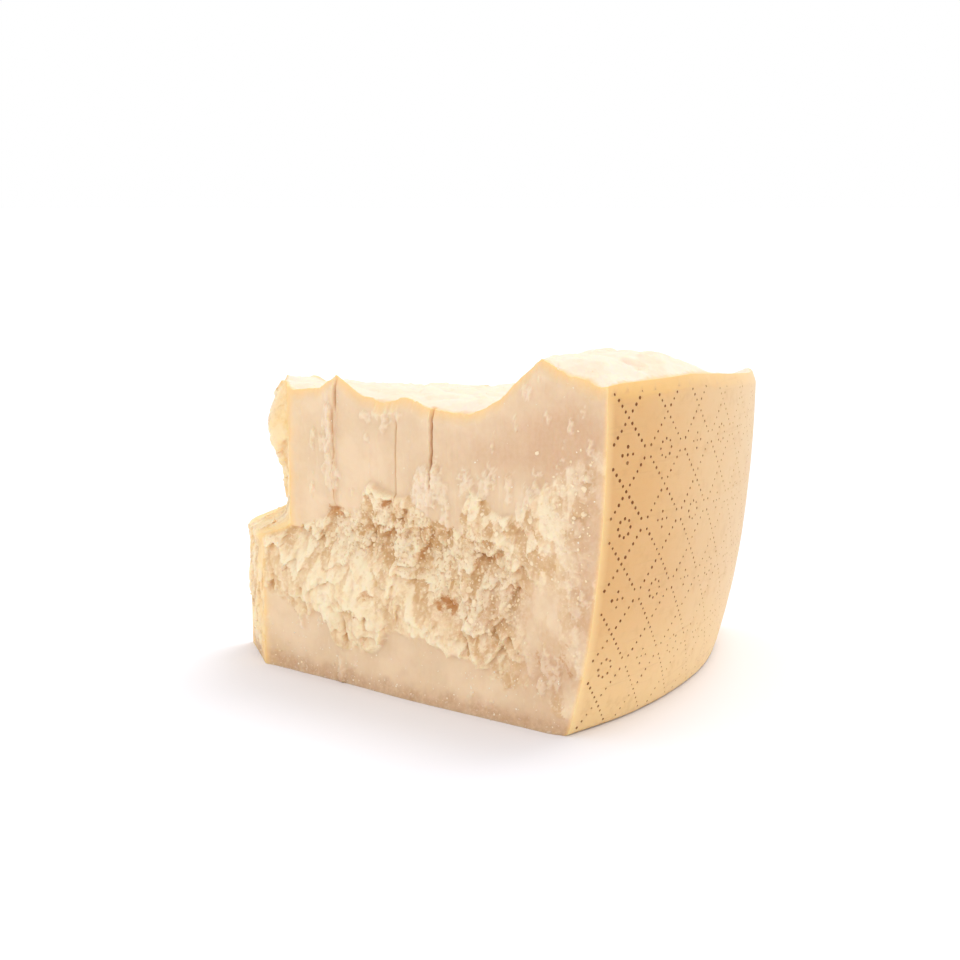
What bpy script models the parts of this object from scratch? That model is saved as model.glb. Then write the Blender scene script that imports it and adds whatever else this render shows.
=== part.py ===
"""A half-height wedge broken from a wheel of hard grating cheese.

The wedge is one solid. It stands on the wheel's flat face, and its barrel-shaped side still has the rind.
Its front face was cut with a knife at the top and the foot and torn in between, its tip is broken off,
and its top is the rough level where the wheel was split at half its height.

Plan positions are worked out in the cut face's own frame: `along` runs on the cut face from the rind
towards the tip, and `inward` runs square to it, into the cheese. Everything is in metres.
"""

import math

import bmesh
import bpy
import numpy as np
from mathutils import Vector, noise
from mathutils.geometry import delaunay_2d_cdt

# The wheel that the wedge comes from.
WHEEL_RADIUS = 0.2162
HALF_HEIGHT = 0.120
FLAT_FACE_DRAW_IN = 0.0137
BARREL_POWER = 2.6
FOOT_ROUND = 0.0012
RIND_THICKNESS = 0.004

# The wedge in plan: the wheel's axis, the angle between its two long faces and where these would meet.
AXIS_ALONG = 0.2120
AXIS_INWARD = 0.0412
WEDGE_ANGLE = math.radians(45)
APEX_ALONG = 0.2012

# The broken tip, which reaches further below a ledge than above it. The back figures run from the apex.
LEDGE_LOW = 0.0495
LEDGE_HIGH = 0.0580
TIP_ALONG_LOW = 0.1560
TIP_ALONG_HIGH = 0.1410
TIP_BACK_LOW = 0.0270
TIP_BACK_HIGH = 0.0430

# Lumps that stand out of the broken tip: height, half height and reach.
TIP_LUMPS = ((0.0950, 0.0120, 0.0055), (0.0530, 0.0055, 0.0030))

# The top's height: its edge on the cut face, its edge on the rind by angle round the wheel, and inside.
CUT_EDGE_ALONG = (0.000, 0.015, 0.027, 0.035, 0.044, 0.057, 0.066, 0.086, 0.098, 0.108, 0.118, 0.124, 0.145)
CUT_EDGE_HEIGHT = (0.1195, 0.1205, 0.1265, 0.1205, 0.1115, 0.1062, 0.1055, 0.1088, 0.1075, 0.1095, 0.1138,
                   0.1105, 0.1105)
RIND_EDGE_TURN = (0.0, 13.0, 34.0, 50.0)
RIND_EDGE_HEIGHT = (0.1198, 0.1196, 0.1125, 0.1080)
HUMP_HEIGHT = 0.1264
HUMP_END_ALONG = 0.0370
HUMP_END_SLANT = 0.10
HUMP_END_SOFTNESS = 0.008
HUMP_BACK = (0.045, 0.105)
PLATEAU_HEIGHT = 0.1100
BACK_FALL = 0.0055
BACK_FALL_REACH = 0.088
EDGE_BLEND = 0.0110

# The torn band across the cut face, between the two knife cuts, as heights along the face.
BAND_TOP_ALONG = (0.000, 0.020, 0.033, 0.045, 0.055, 0.062, 0.072, 0.082, 0.100, 0.108, 0.130, 0.160)
BAND_TOP_HEIGHT = (0.100, 0.088, 0.076, 0.075, 0.082, 0.066, 0.066, 0.074, 0.077, 0.067, 0.061, 0.052)
BAND_FOOT_ALONG = (0.015, 0.040, 0.070, 0.090, 0.100, 0.112, 0.126, 0.140, 0.158)
BAND_FOOT_HEIGHT = (0.008, 0.015, 0.023, 0.023, 0.013, 0.012, 0.024, 0.027, 0.030)
BAND_SOFTNESS = 0.0035
BAND_BELLY = 0.0010

# Broad swells of the cut face: along, height, half length, half height and level. The cheese broke away
# deeper under the upper knife cut, and bulges out above the lower one.
SWELLS = (
    (0.1050, 0.0575, 0.0300, 0.0080, -0.0022),
    (0.0600, 0.0560, 0.0200, 0.0110, -0.0024),
    (0.0450, 0.0400, 0.0120, 0.0130, -0.0018),
    (0.1300, 0.0380, 0.0240, 0.0120, 0.0024),
    (0.0950, 0.0300, 0.0250, 0.0120, 0.0020),
    (0.0650, 0.0250, 0.0180, 0.0090, 0.0010),
    (0.0220, 0.0760, 0.0120, 0.0140, 0.0012),
)
FOOT_FLARE = 0.0018
FOOT_FLARE_HEIGHT = 0.018
FOOT_FLARE_ENDS = (0.080, 0.130)

# Knife slits down the cut face: place along it, lowest and highest point, and the step across the slit.
SLITS = ((0.1172, 0.060, 0.110, 0.0008), (0.0888, 0.060, 0.097, -0.0007), (0.0726, 0.074, 0.110, 0.0006))
SLIT_DEPTH = 0.0024
SLIT_HALF_WIDTH = 0.0012
SLIT_RUN_OUT = 0.005
SLIT_STEP_REACH = 0.015

# Hollows where crumbs fell out of the torn band: along, height, radius and depth.
HOLLOWS = (
    (0.1190, 0.0640, 0.0045, 0.0045),
    (0.0930, 0.0705, 0.0030, 0.0030),
    (0.0500, 0.0560, 0.0040, 0.0050),
    (0.0660, 0.0360, 0.0035, 0.0050),
    (0.0370, 0.0470, 0.0045, 0.0045),
    (0.0200, 0.0220, 0.0090, 0.0028),
)

# Sizes of the broken grains, largest first, and how far each sort stands in or out.
CRAG_SIZE = 0.0150
CRAG_HEIGHT = 0.0024
GRAIN_SIZE = 0.0075
GRAIN_HEIGHT = 0.0013
GRAIN_TILT = 0.90
TILT_SPREAD = 5.3
FLAKE_STRETCH = 0.55
FLAKE_LEAN = 0.90
SMOOTH_WAVE_SIZE = 0.035
SMOOTH_WAVE_HEIGHT = 0.0005
TOP_CRAG_HEIGHT = 0.0011
WARP_SIZE = 0.012
WARP_REACH = 0.0045
RIND_QUIET_SHARE = 0.30
RIND_QUIET = (0.012, 0.042)

# The corners between faces, over which the relief fades, and the roughness of the tip and the back.
SOFT_CORNER = 0.006
SHARP_CORNER = 0.010
FOOT_FADE = (0.001, 0.012)
TIP_ROUGHNESS = 0.6
BACK_TORN_FROM = (0.010, 0.030)
BACK_TORN_TO = (0.080, 0.100)
KNIFE_ROUGHNESS = 0.15

# Mesh spacing: columns along each stretch of the outline, rows up the sides and points over the top.
CUT_STEP = 0.0029
TIP_COLUMNS = 10
BACK_COLUMNS = 42
RIND_COLUMNS = 26
FOOT_ROWS = (0.0, 0.009, 0.024)
FIRST_SIDE_ROW = 0.050
SIDE_ROWS = 28
TOP_STEP = 0.0045
TOP_RIM_GAP = 0.0035
JOIN_TOLERANCE = 1e-6

# The mesh columns follow the corner up to here from the rind, and follow the tip from here on.
MIDDLE_TIP = (TIP_ALONG_LOW + TIP_ALONG_HIGH) / 2
RIND_FOLLOW = 0.060
TIP_FOLLOW = 0.122

# Where the top of the corner between cut face and rind lies, and the way the cut face runs from it.
CORNER_X = 0.0308
CORNER_Y = -0.07725
CUT_FACE_TURN = math.radians(142.8)

CHEESE_COLOUR = (0.86, 0.66, 0.42, 1.0)
CHEESE_ROUGHNESS = 0.62

CUT, TIP, BACK, RIND = range(4)


def smooth(value, low, high):
    """A share that eases from 0 at low to 1 at high."""
    share = np.clip((value - low) / (high - low), 0, 1)
    return share * share * (3 - 2 * share)


def wave(along, inward, height, size, seed):
    """Soft noise from -1 to 1 at a place, with swells of one size."""
    return noise.noise(Vector((along, inward, height)) / size + Vector((seed, -seed, 2 * seed)))


def broken(along, inward, height, size, seed, stretch=1.0, lean=0.0):
    """Height of a surface broken into flat grains, each tilted its own way and set in or out.

    A stretch below 1 draws the grains out upwards, and a lean makes each stand out at its lower end.
    """
    place = Vector((along, inward, height * stretch)) / size + Vector((seed, seed, seed))
    grain = noise.voronoi(place)[1][0]
    tilt = noise.noise_vector(grain * TILT_SPREAD)
    offset = place - grain
    return tilt.x + GRAIN_TILT * offset.dot(tilt) - lean * offset.z


def barrel_radius(height):
    """Radius of the wheel's side, which draws in towards the flat face and is rounded at its foot."""
    draw_in = FLAT_FACE_DRAW_IN * np.clip(1 - height / HALF_HEIGHT, 0, 1) ** BARREL_POWER
    foot = np.clip(1 - height / FOOT_ROUND, 0, 1)
    return WHEEL_RADIUS - draw_in - FOOT_ROUND * (1 - np.sqrt(1 - foot**2))


def back_point(reach):
    """A place on the back face, at a reach from the apex where it would meet the cut face."""
    return np.array((APEX_ALONG - reach * math.cos(WEDGE_ANGLE), reach * math.sin(WEDGE_ANGLE)))


def plan_corners(height):
    """The outline's four corners at a height: rind and cut face, front of tip, back of tip, back and rind."""
    radius = barrel_radius(height)
    front = np.array((AXIS_ALONG - math.sqrt(radius**2 - AXIS_INWARD**2), 0.0))
    gap = APEX_ALONG - AXIS_ALONG
    middle = gap * math.cos(WEDGE_ANGLE) + AXIS_INWARD * math.sin(WEDGE_ANGLE)
    far_reach = middle + math.sqrt(middle**2 - gap**2 - AXIS_INWARD**2 + radius**2)
    above = smooth(height, LEDGE_LOW, LEDGE_HIGH)
    tip = np.array((TIP_ALONG_LOW + (TIP_ALONG_HIGH - TIP_ALONG_LOW) * above, 0.0))
    tip_back = back_point(TIP_BACK_LOW + (TIP_BACK_HIGH - TIP_BACK_LOW) * above)
    return front, tip, tip_back, back_point(far_reach)


def cut_face_places():
    """Places of the mesh columns on the cut face, even but for three that follow each slit."""
    even = np.linspace(0, MIDDLE_TIP, int(MIDDLE_TIP / CUT_STEP))
    slit_places = [slit[0] for slit in SLITS]
    clear = [a for a in even[:-1] if min(abs(a - p) for p in slit_places) > 1.8 * SLIT_HALF_WIDTH]
    beside = [p + side * SLIT_HALF_WIDTH for p in slit_places for side in (-1, 0, 1)]
    return np.array(sorted(clear + beside))


def columns():
    """Every column of the side mesh in order round the outline: its stretch and its place on that stretch."""
    listed = [(CUT, a) for a in cut_face_places()]
    for stretch, count in ((TIP, TIP_COLUMNS), (BACK, BACK_COLUMNS), (RIND, RIND_COLUMNS)):
        listed += [(stretch, k / count) for k in range(count)]
    return listed


def outline_point(stretch, place, height):
    """Plan position of a column at a height, with the outward direction and the distance to a corner."""
    front, tip, tip_back, far = plan_corners(height)
    if stretch == CUT:
        near_rind = np.clip(1 - place / RIND_FOLLOW, 0, 1) ** 2
        near_tip = np.clip((place - TIP_FOLLOW) / (MIDDLE_TIP - TIP_FOLLOW), 0, 1) ** 1.5
        along = place + front[0] * near_rind + (tip[0] - MIDDLE_TIP) * near_tip
        return np.array((along, 0.0)), np.array((0.0, -1.0)), min(along - front[0], tip[0] - along)
    if stretch == RIND:
        axis = np.array((AXIS_ALONG, AXIS_INWARD))
        turns = [math.atan2(*(corner - axis)[::-1]) % (2 * math.pi) for corner in (far, front)]
        turn = turns[0] + (turns[1] - turns[0]) * place
        outward = np.array((math.cos(turn), math.sin(turn)))
        radius = barrel_radius(height)
        return axis + radius * outward, outward, radius * min(turn - turns[0], turns[1] - turn)
    start, end = (tip, tip_back) if stretch == TIP else (tip_back, far)
    run = end - start
    length = np.linalg.norm(run)
    outward = np.array((run[1], -run[0])) / length
    return start + run * place, outward, length * min(place, 1 - place)


def torn_share(along, height):
    """How torn the cut face is at a place: 1 inside the band and 0 on the knife cuts."""
    warp = WARP_REACH * wave(along, 0.0, height, WARP_SIZE, 3.1)
    top = np.interp(along, BAND_TOP_ALONG, BAND_TOP_HEIGHT) + warp
    foot = np.interp(along, BAND_FOOT_ALONG, BAND_FOOT_HEIGHT) + warp
    above_foot = smooth(height, foot - BAND_SOFTNESS, foot + BAND_SOFTNESS)
    return above_foot * (1 - smooth(height, top - BAND_SOFTNESS, top + BAND_SOFTNESS))


def crags(along, inward, height, seed):
    """Broken relief in two sizes of grain, drawn out into flakes that stand out at their lower ends."""
    coarse = broken(along, inward, height, CRAG_SIZE, seed, FLAKE_STRETCH, FLAKE_LEAN)
    fine = broken(along, inward, height, GRAIN_SIZE, seed + 7.7, FLAKE_STRETCH, FLAKE_LEAN)
    return CRAG_HEIGHT * coarse + GRAIN_HEIGHT * fine


def cut_face_relief(along, height):
    """How far the cut face stands out: knife cuts, slits, the torn band's belly and crags, and hollows."""
    torn = torn_share(along, height)
    quiet = RIND_QUIET_SHARE + (1 - RIND_QUIET_SHARE) * smooth(along, *RIND_QUIET)
    relief = SMOOTH_WAVE_HEIGHT * wave(along, 0.0, height, SMOOTH_WAVE_SIZE, 1.7)
    relief += torn * quiet * (BAND_BELLY + crags(along, 0.0, height, 11.0))
    relief += FOOT_FLARE * (1 - smooth(height, 0, FOOT_FLARE_HEIGHT)) * (1 - smooth(along, *FOOT_FLARE_ENDS))
    for place, low, high, step in SLITS:
        in_height = smooth(height, low, low + SLIT_RUN_OUT) * (1 - smooth(height, high, high + SLIT_RUN_OUT))
        relief -= SLIT_DEPTH * in_height * max(0.0, 1 - abs(along - place) / SLIT_HALF_WIDTH)
        beyond = (along - place) / SLIT_STEP_REACH
        relief += step * in_height * max(0.0, 1 - beyond) * smooth(along, place, place + SLIT_HALF_WIDTH)
    for place, level, half_length, half_height, rise in SWELLS:
        relief += rise * math.exp(-(((along - place) / half_length) ** 2) - ((height - level) / half_height) ** 2)
    for place, level, radius, depth in HOLLOWS:
        off = math.hypot(along - place, height - level) / radius
        relief -= depth * math.exp(-(off**2))
    return relief


def side_relief(stretch, point, height, corner_gap):
    """How far a side stands out at a place, quieter beside the outline's corners."""
    along, inward = point
    if stretch == CUT:
        return cut_face_relief(along, height) * (0.25 + 0.75 * smooth(corner_gap, 0, SOFT_CORNER))
    if stretch == RIND:
        return SMOOTH_WAVE_HEIGHT * wave(along, inward, height, SMOOTH_WAVE_SIZE, 5.5)
    open_face = smooth(corner_gap, -0.3 * SHARP_CORNER, SHARP_CORNER) * smooth(height, *FOOT_FADE)
    if stretch == TIP:
        lumps = sum(reach * math.exp(-(((height - level) / spread) ** 2)) for level, spread, reach in TIP_LUMPS)
        lumps *= smooth(corner_gap, -0.2 * SHARP_CORNER, SHARP_CORNER)
        return lumps + TIP_ROUGHNESS * open_face * crags(along, inward, height, 23.0)
    torn = (1 - smooth(height, *BACK_TORN_TO)) * smooth(height, *BACK_TORN_FROM)
    return open_face * (KNIFE_ROUGHNESS + (1 - KNIFE_ROUGHNESS) * torn) * crags(along, inward, height, 31.0)


def top_height(point):
    """Height of the split top: a hump beside the rind, a lower plateau towards the tip, and its edges."""
    along, inward = point
    from_axis = np.array(point) - (AXIS_ALONG, AXIS_INWARD)
    rind_gap = max(0.0, WHEEL_RADIUS - np.linalg.norm(from_axis))
    corner_turn = math.atan2(-AXIS_INWARD, -math.sqrt(WHEEL_RADIUS**2 - AXIS_INWARD**2))
    turn = math.degrees((corner_turn - math.atan2(from_axis[1], from_axis[0])) % (2 * math.pi))
    hump_end = HUMP_END_ALONG + HUMP_END_SLANT * inward
    on_hump = 1 - smooth(along, hump_end - HUMP_END_SOFTNESS, hump_end + HUMP_END_SOFTNESS)
    on_hump *= 1 - smooth(inward, *HUMP_BACK)
    level = PLATEAU_HEIGHT - BACK_FALL * smooth(inward, -0.010, BACK_FALL_REACH)
    level += (HUMP_HEIGHT - level) * on_hump
    rind_level = np.interp(turn, RIND_EDGE_TURN, RIND_EDGE_HEIGHT)
    level += (rind_level - level) * (1 - smooth(rind_gap, 0, 1.5 * EDGE_BLEND))
    cut_level = np.interp(along, CUT_EDGE_ALONG, CUT_EDGE_HEIGHT)
    level += (cut_level - level) * (1 - smooth(inward, 0, EDGE_BLEND))
    inside_rind = smooth(rind_gap, 0, RIND_THICKNESS)
    return level + TOP_CRAG_HEIGHT * inside_rind * broken(along, inward, 0.0, CRAG_SIZE, 41.0)


def model_place(along, inward, height):
    """A place of the cut face's frame in the model's own frame."""
    cosine, sine = math.cos(CUT_FACE_TURN), math.sin(CUT_FACE_TURN)
    return (CORNER_X + along * cosine + inward * sine, CORNER_Y + along * sine - inward * cosine, height)


def side_rows():
    """Shares of the local height at which the rows lie, closer together round the foot."""
    return np.concatenate((FOOT_ROWS, np.linspace(FIRST_SIDE_ROW, 1, SIDE_ROWS)))


def side_grid():
    """Plan position and height of every point of the side mesh, by row and column."""
    listed = columns()
    rows = side_rows()
    grid = np.zeros((len(rows), len(listed), 3))
    for c, (stretch, place) in enumerate(listed):
        rim, _, _ = outline_point(stretch, place, HALF_HEIGHT)
        rim_height = top_height(rim)
        for r, share in enumerate(rows):
            height = share * rim_height
            point, outward, corner_gap = outline_point(stretch, place, height)
            point = point + outward * side_relief(stretch, point, height, corner_gap)
            grid[r, c] = (*point, height)
    return grid


def top_points(rim):
    """Plan positions for the inside of the top, on staggered rows that keep clear of its rim."""
    low, high = rim.min(axis=0), rim.max(axis=0)
    starts, ends = rim, np.roll(rim, -1, axis=0)
    runs = ends - starts
    found = []
    for row, inward in enumerate(np.arange(low[1], high[1], TOP_STEP * math.sqrt(3) / 2)):
        for along in np.arange(low[0] + TOP_STEP / 2 * (row % 2), high[0], TOP_STEP):
            offset = np.array((along, inward)) - starts
            share = np.clip((offset * runs).sum(axis=1) / (runs**2).sum(axis=1), 0, 1)
            gap = np.linalg.norm(offset - runs * share[:, None], axis=1).min()
            if gap > TOP_RIM_GAP:
                found.append((along, inward))
    return found


def add_top(mesh, rim_vertices, rim):
    """Closes the top over its rim with even triangles, and drops the points that lie outside the rim."""
    plan = [Vector(point) for point in rim] + [Vector(point) for point in top_points(rim)]
    outline = [list(range(len(rim)))]
    places, _, triangles, sources, _, _ = delaunay_2d_cdt(plan, [], outline, 1, JOIN_TOLERANCE)
    made = {}

    def vertex(k):
        if k not in made:
            source = sources[k][0]
            at = (places[k].x, places[k].y)
            on_rim = source < len(rim)
            made[k] = rim_vertices[source] if on_rim else mesh.verts.new(model_place(*at, top_height(at)))
        return made[k]

    for triangle in triangles:
        mesh.faces.new([vertex(k) for k in triangle])


def cheese_mesh():
    """The whole surface as one closed mesh: a flat foot, the sides in rows, and the top."""
    grid = side_grid()
    mesh = bmesh.new()
    layers = [[mesh.verts.new(model_place(*point)) for point in row] for row in grid]
    count = len(layers[0])
    mesh.faces.new(layers[0])
    for low, high in zip(layers, layers[1:]):
        for c in range(count):
            following = (c + 1) % count
            mesh.faces.new((low[c], low[following], high[following], high[c]))
    add_top(mesh, layers[-1], grid[-1][:, :2])
    bmesh.ops.recalc_face_normals(mesh, faces=mesh.faces)
    return mesh


def cheese_material():
    """Pale straw paste with a dull, dry surface."""
    material = bpy.data.materials.new("cheese")
    material.use_nodes = True
    shader = material.node_tree.nodes["Principled BSDF"]
    shader.inputs["Base Color"].default_value = CHEESE_COLOUR
    shader.inputs["Roughness"].default_value = CHEESE_ROUGHNESS
    shader.inputs["Metallic"].default_value = 0.0
    return material


def build():
    """Makes the wedge as one object."""
    surface = cheese_mesh()
    data = bpy.data.meshes.new("cheese_wedge")
    surface.to_mesh(data)
    surface.free()
    data.shade_smooth()
    data.set_sharp_from_angle(angle=math.radians(35))
    data.materials.append(cheese_material())
    wedge = bpy.data.objects.new("cheese_wedge", data)
    bpy.context.scene.collection.objects.link(wedge)


for old in list(bpy.data.objects):
    bpy.data.objects.remove(old)
build()
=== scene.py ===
"""The looks of a half-height wedge of hard grating cheese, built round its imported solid.

The wedge's fine surface has the solid's own driving sizes, with smaller grains, flakes and knife marks added.
Plan positions are worked out in the cut face's own frame: `along` runs on the cut face from the rind
towards the tip, and `inward` runs square to it, into the cheese. Everything is in metres.
"""

import logging
import math
from dataclasses import dataclass, field
from enum import Enum
from typing import Any, Optional, Sequence

import bmesh
import bpy
import numpy as np
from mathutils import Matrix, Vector, noise
from mathutils.geometry import delaunay_2d_cdt

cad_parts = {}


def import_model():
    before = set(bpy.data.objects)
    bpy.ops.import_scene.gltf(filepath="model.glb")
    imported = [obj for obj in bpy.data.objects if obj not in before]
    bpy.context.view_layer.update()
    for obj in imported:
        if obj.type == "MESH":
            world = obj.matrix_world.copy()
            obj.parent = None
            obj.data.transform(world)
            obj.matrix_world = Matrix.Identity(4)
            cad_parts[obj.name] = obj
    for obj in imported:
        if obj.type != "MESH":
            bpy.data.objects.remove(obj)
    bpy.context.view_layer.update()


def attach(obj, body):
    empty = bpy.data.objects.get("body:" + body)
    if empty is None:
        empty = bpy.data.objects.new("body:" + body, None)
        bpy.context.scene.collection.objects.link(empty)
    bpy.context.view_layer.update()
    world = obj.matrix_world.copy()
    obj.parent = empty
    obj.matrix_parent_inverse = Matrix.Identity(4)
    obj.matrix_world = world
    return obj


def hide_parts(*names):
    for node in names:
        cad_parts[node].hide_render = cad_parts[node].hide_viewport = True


LOG = logging.getLogger("cheese")
NODE = "cheese_wedge"


class Stretch(Enum):
    """The four stretches of the wedge's outline, in their order round it."""

    CUT = 0
    TIP = 1
    BACK = 2
    RIND = 3


class Skin(Enum):
    """The wedge's material slots, in the order of its mesh's slots."""

    PASTE = 0
    RIND = 1
    PRICK = 2


def ease(value: np.ndarray, low: Any, high: Any) -> np.ndarray:
    """Eases from 0 at low to 1 at high.

    Args:
        value: Any array or number.
        low: Where the share starts to rise.
        high: Where it reaches 1.

    Returns:
        The share at each value.
    """
    share = np.clip((value - low) / (high - low), 0, 1)
    return share * share * (3 - 2 * share)


def bell(value: np.ndarray) -> np.ndarray:
    """A bell curve that is 1 at 0 and about 0.37 at 1."""
    return np.exp(-(value**2))


def vectors(along: np.ndarray, inward: np.ndarray, height: np.ndarray) -> list[Vector]:
    """Places as a flat list of vectors, for the noise functions."""
    stacked = np.stack(np.broadcast_arrays(along, inward, height), axis=-1)
    return [Vector(place) for place in stacked.reshape(-1, 3).tolist()]


def wave(along: np.ndarray, inward: np.ndarray, height: np.ndarray, size: float, seed: float) -> np.ndarray:
    """Soft noise from -1 to 1 with swells of one size.

    Args:
        along: Places along the cut face.
        inward: Places into the cheese.
        height: Heights above the foot.
        size: Width of a swell.
        seed: Shifts the pattern.

    Returns:
        The noise at each place.
    """
    shape = np.broadcast(along, inward, height).shape
    shift = Vector((seed, -seed, 2 * seed))
    return np.array([noise.noise(p / size + shift) for p in vectors(along, inward, height)]).reshape(shape)


@dataclass(frozen=True)
class Grain:
    """One size of broken grain: its width, how far it stands in or out, and its shape."""

    size: float
    relief: float
    seed: float
    stretch: float = 0.55
    lean: float = 0.90
    tilt: float = 0.90
    tilt_spread: float = 5.3

    def scaled(self, along: np.ndarray, inward: np.ndarray, height: np.ndarray) -> np.ndarray:
        """Places in the grains' own scale, one a row."""
        places = np.stack(np.broadcast_arrays(along, inward, height * self.stretch), axis=-1).reshape(-1, 3)
        return places / self.size + self.seed

    def rounded(self, along: np.ndarray, inward: np.ndarray, height: np.ndarray) -> np.ndarray:
        """Relief of a surface of rounded lumps with creases between them, in metres."""
        shape = np.broadcast(along, inward, height).shape
        near = [noise.voronoi(Vector(p))[0][0] for p in self.scaled(along, inward, height).tolist()]
        return self.relief * (0.6 - 1.7 * np.array(near).reshape(shape) ** 2)

    def tone(self, along: np.ndarray, inward: np.ndarray, height: np.ndarray) -> np.ndarray:
        """A number from about -0.5 to 0.5 that is the same all over each grain."""
        shape = np.broadcast(along, inward, height).shape
        grains = [noise.voronoi(Vector(p))[1][0] for p in self.scaled(along, inward, height).tolist()]
        return np.array([noise.noise(grain * self.tilt_spread) for grain in grains]).reshape(shape)

    def at(self, along: np.ndarray, inward: np.ndarray, height: np.ndarray) -> np.ndarray:
        """Height of a surface broken into flat grains, each tilted its own way and set in or out.

        Args:
            along: Places along the cut face.
            inward: Places into the cheese.
            height: Heights above the foot.

        Returns:
            The relief in metres at each place.
        """
        shape = np.broadcast(along, inward, height).shape
        places = self.scaled(along, inward, height)
        grains = [noise.voronoi(Vector(p))[1][0] for p in places.tolist()]
        tilts = np.array([noise.noise_vector(grain * self.tilt_spread) for grain in grains])
        offsets = places - np.array(grains)
        level = tilts[:, 0] + self.tilt * (offsets * tilts).sum(axis=1) - self.lean * offsets[:, 2]
        return self.relief * level.reshape(shape)


@dataclass(frozen=True)
class Wheel:
    """The wheel that the wedge comes from: its barrel side, and its axis in the cut face's frame."""

    radius: float = 0.2162
    half_height: float = 0.120
    draw_in: float = 0.0137
    power: float = 2.6
    foot_round: float = 0.0012
    axis_along: float = 0.2120
    axis_inward: float = 0.0412

    def radius_at(self, height: np.ndarray) -> np.ndarray:
        """Radius of the side, which draws in towards the flat face and is rounded at its foot."""
        draw_in = self.draw_in * np.clip(1 - height / self.half_height, 0, 1) ** self.power
        foot = np.clip(1 - height / self.foot_round, 0, 1)
        return self.radius - draw_in - self.foot_round * (1 - np.sqrt(1 - foot**2))

    def turn_at(self, along: np.ndarray, inward: np.ndarray) -> np.ndarray:
        """Angle round the wheel in degrees, from 0 at the near corner's top along the rind."""
        corner = math.atan2(-self.axis_inward, -math.sqrt(self.radius**2 - self.axis_inward**2))
        angle = np.arctan2(inward - self.axis_inward, along - self.axis_along)
        return np.degrees((corner - angle) % (2 * math.pi))

    def rind_gap(self, along: np.ndarray, inward: np.ndarray) -> np.ndarray:
        """Plan distance in from the rind at its widest."""
        return np.maximum(0, self.radius - np.hypot(along - self.axis_along, inward - self.axis_inward))


@dataclass(frozen=True)
class Plan:
    """The wedge in plan: its two long faces, and the broken tip with its ledge."""

    wheel: Wheel = Wheel()
    wedge_angle: float = math.radians(45)
    apex_along: float = 0.2012
    ledge_low: float = 0.0495
    ledge_high: float = 0.0580
    tip_along_low: float = 0.1560
    tip_along_high: float = 0.1410
    tip_back_low: float = 0.0270
    tip_back_high: float = 0.0430
    rind_follow: float = 0.060
    tip_follow: float = 0.122

    @property
    def middle_tip(self) -> float:
        """Where the cut face would end between its reach below the ledge and above it."""
        return (self.tip_along_low + self.tip_along_high) / 2

    def back_point(self, reach: Any) -> tuple[np.ndarray, np.ndarray]:
        """A place on the back face, at a reach from the apex where it would meet the cut face."""
        return self.apex_along - reach * math.cos(self.wedge_angle), reach * math.sin(self.wedge_angle)

    def corners(self, height: np.ndarray) -> list[tuple[np.ndarray, np.ndarray]]:
        """The outline's four corners at some heights.

        Args:
            height: Heights above the foot.

        Returns:
            Places of: rind and cut face, front of tip, back of tip, back and rind.
        """
        wheel = self.wheel
        radius = wheel.radius_at(height)
        front = wheel.axis_along - np.sqrt(radius**2 - wheel.axis_inward**2)
        gap = self.apex_along - wheel.axis_along
        middle = gap * math.cos(self.wedge_angle) + wheel.axis_inward * math.sin(self.wedge_angle)
        far_reach = middle + np.sqrt(middle**2 - gap**2 - wheel.axis_inward**2 + radius**2)
        above = ease(height, self.ledge_low, self.ledge_high)
        tip = self.tip_along_low + (self.tip_along_high - self.tip_along_low) * above
        tip_back = self.back_point(self.tip_back_low + (self.tip_back_high - self.tip_back_low) * above)
        return [(front, 0 * front), (tip, 0 * tip), tip_back, self.back_point(far_reach)]

    def outline(self, stretch: Stretch, place: np.ndarray, height: np.ndarray) -> "Places":
        """Places of mesh columns at some heights.

        Args:
            stretch: The stretch of the outline that the columns are on.
            place: Each column's place on its stretch, in metres on the cut face and as a share elsewhere.
            height: Heights, which broadcast against the places.

        Returns:
            The plan positions with their outward directions and distances to the nearer corner.
        """
        wheel = self.wheel
        front, tip, tip_back, far = self.corners(height)
        if stretch is Stretch.CUT:
            near_rind = np.clip(1 - place / self.rind_follow, 0, 1) ** 2
            near_tip = np.clip((place - self.tip_follow) / (self.middle_tip - self.tip_follow), 0, 1) ** 1.5
            along = place + front[0] * near_rind + (tip[0] - self.middle_tip) * near_tip
            gap = np.minimum(along - front[0], tip[0] - along)
            return Places(along, 0 * along, height + 0 * along, 0 * along, 0 * along - 1, gap)
        if stretch is Stretch.RIND:
            turns = [
                np.arctan2(corner[1] - wheel.axis_inward, corner[0] - wheel.axis_along) % (2 * math.pi)
                for corner in (far, front)
            ]
            turn = turns[0] + (turns[1] - turns[0]) * place
            radius = wheel.radius_at(height)
            along = wheel.axis_along + radius * np.cos(turn)
            inward = wheel.axis_inward + radius * np.sin(turn)
            gap = radius * np.minimum(turn - turns[0], turns[1] - turn)
            return Places(along, inward, height + 0 * along, np.cos(turn), np.sin(turn), gap)
        start, end = (tip, tip_back) if stretch is Stretch.TIP else (tip_back, far)
        run = (end[0] - start[0], end[1] - start[1])
        length = np.hypot(*run)
        along, inward = start[0] + run[0] * place, start[1] + run[1] * place
        gap = length * np.minimum(place, 1 - place)
        return Places(along, inward, height + 0 * along, run[1] / length + 0 * along, -run[0] / length + 0 * along, gap)


@dataclass
class Places:
    """Places on a side, with the outward direction there and the distance to the nearer corner."""

    along: np.ndarray
    inward: np.ndarray
    height: np.ndarray
    out_along: np.ndarray
    out_inward: np.ndarray
    gap: np.ndarray


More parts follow.
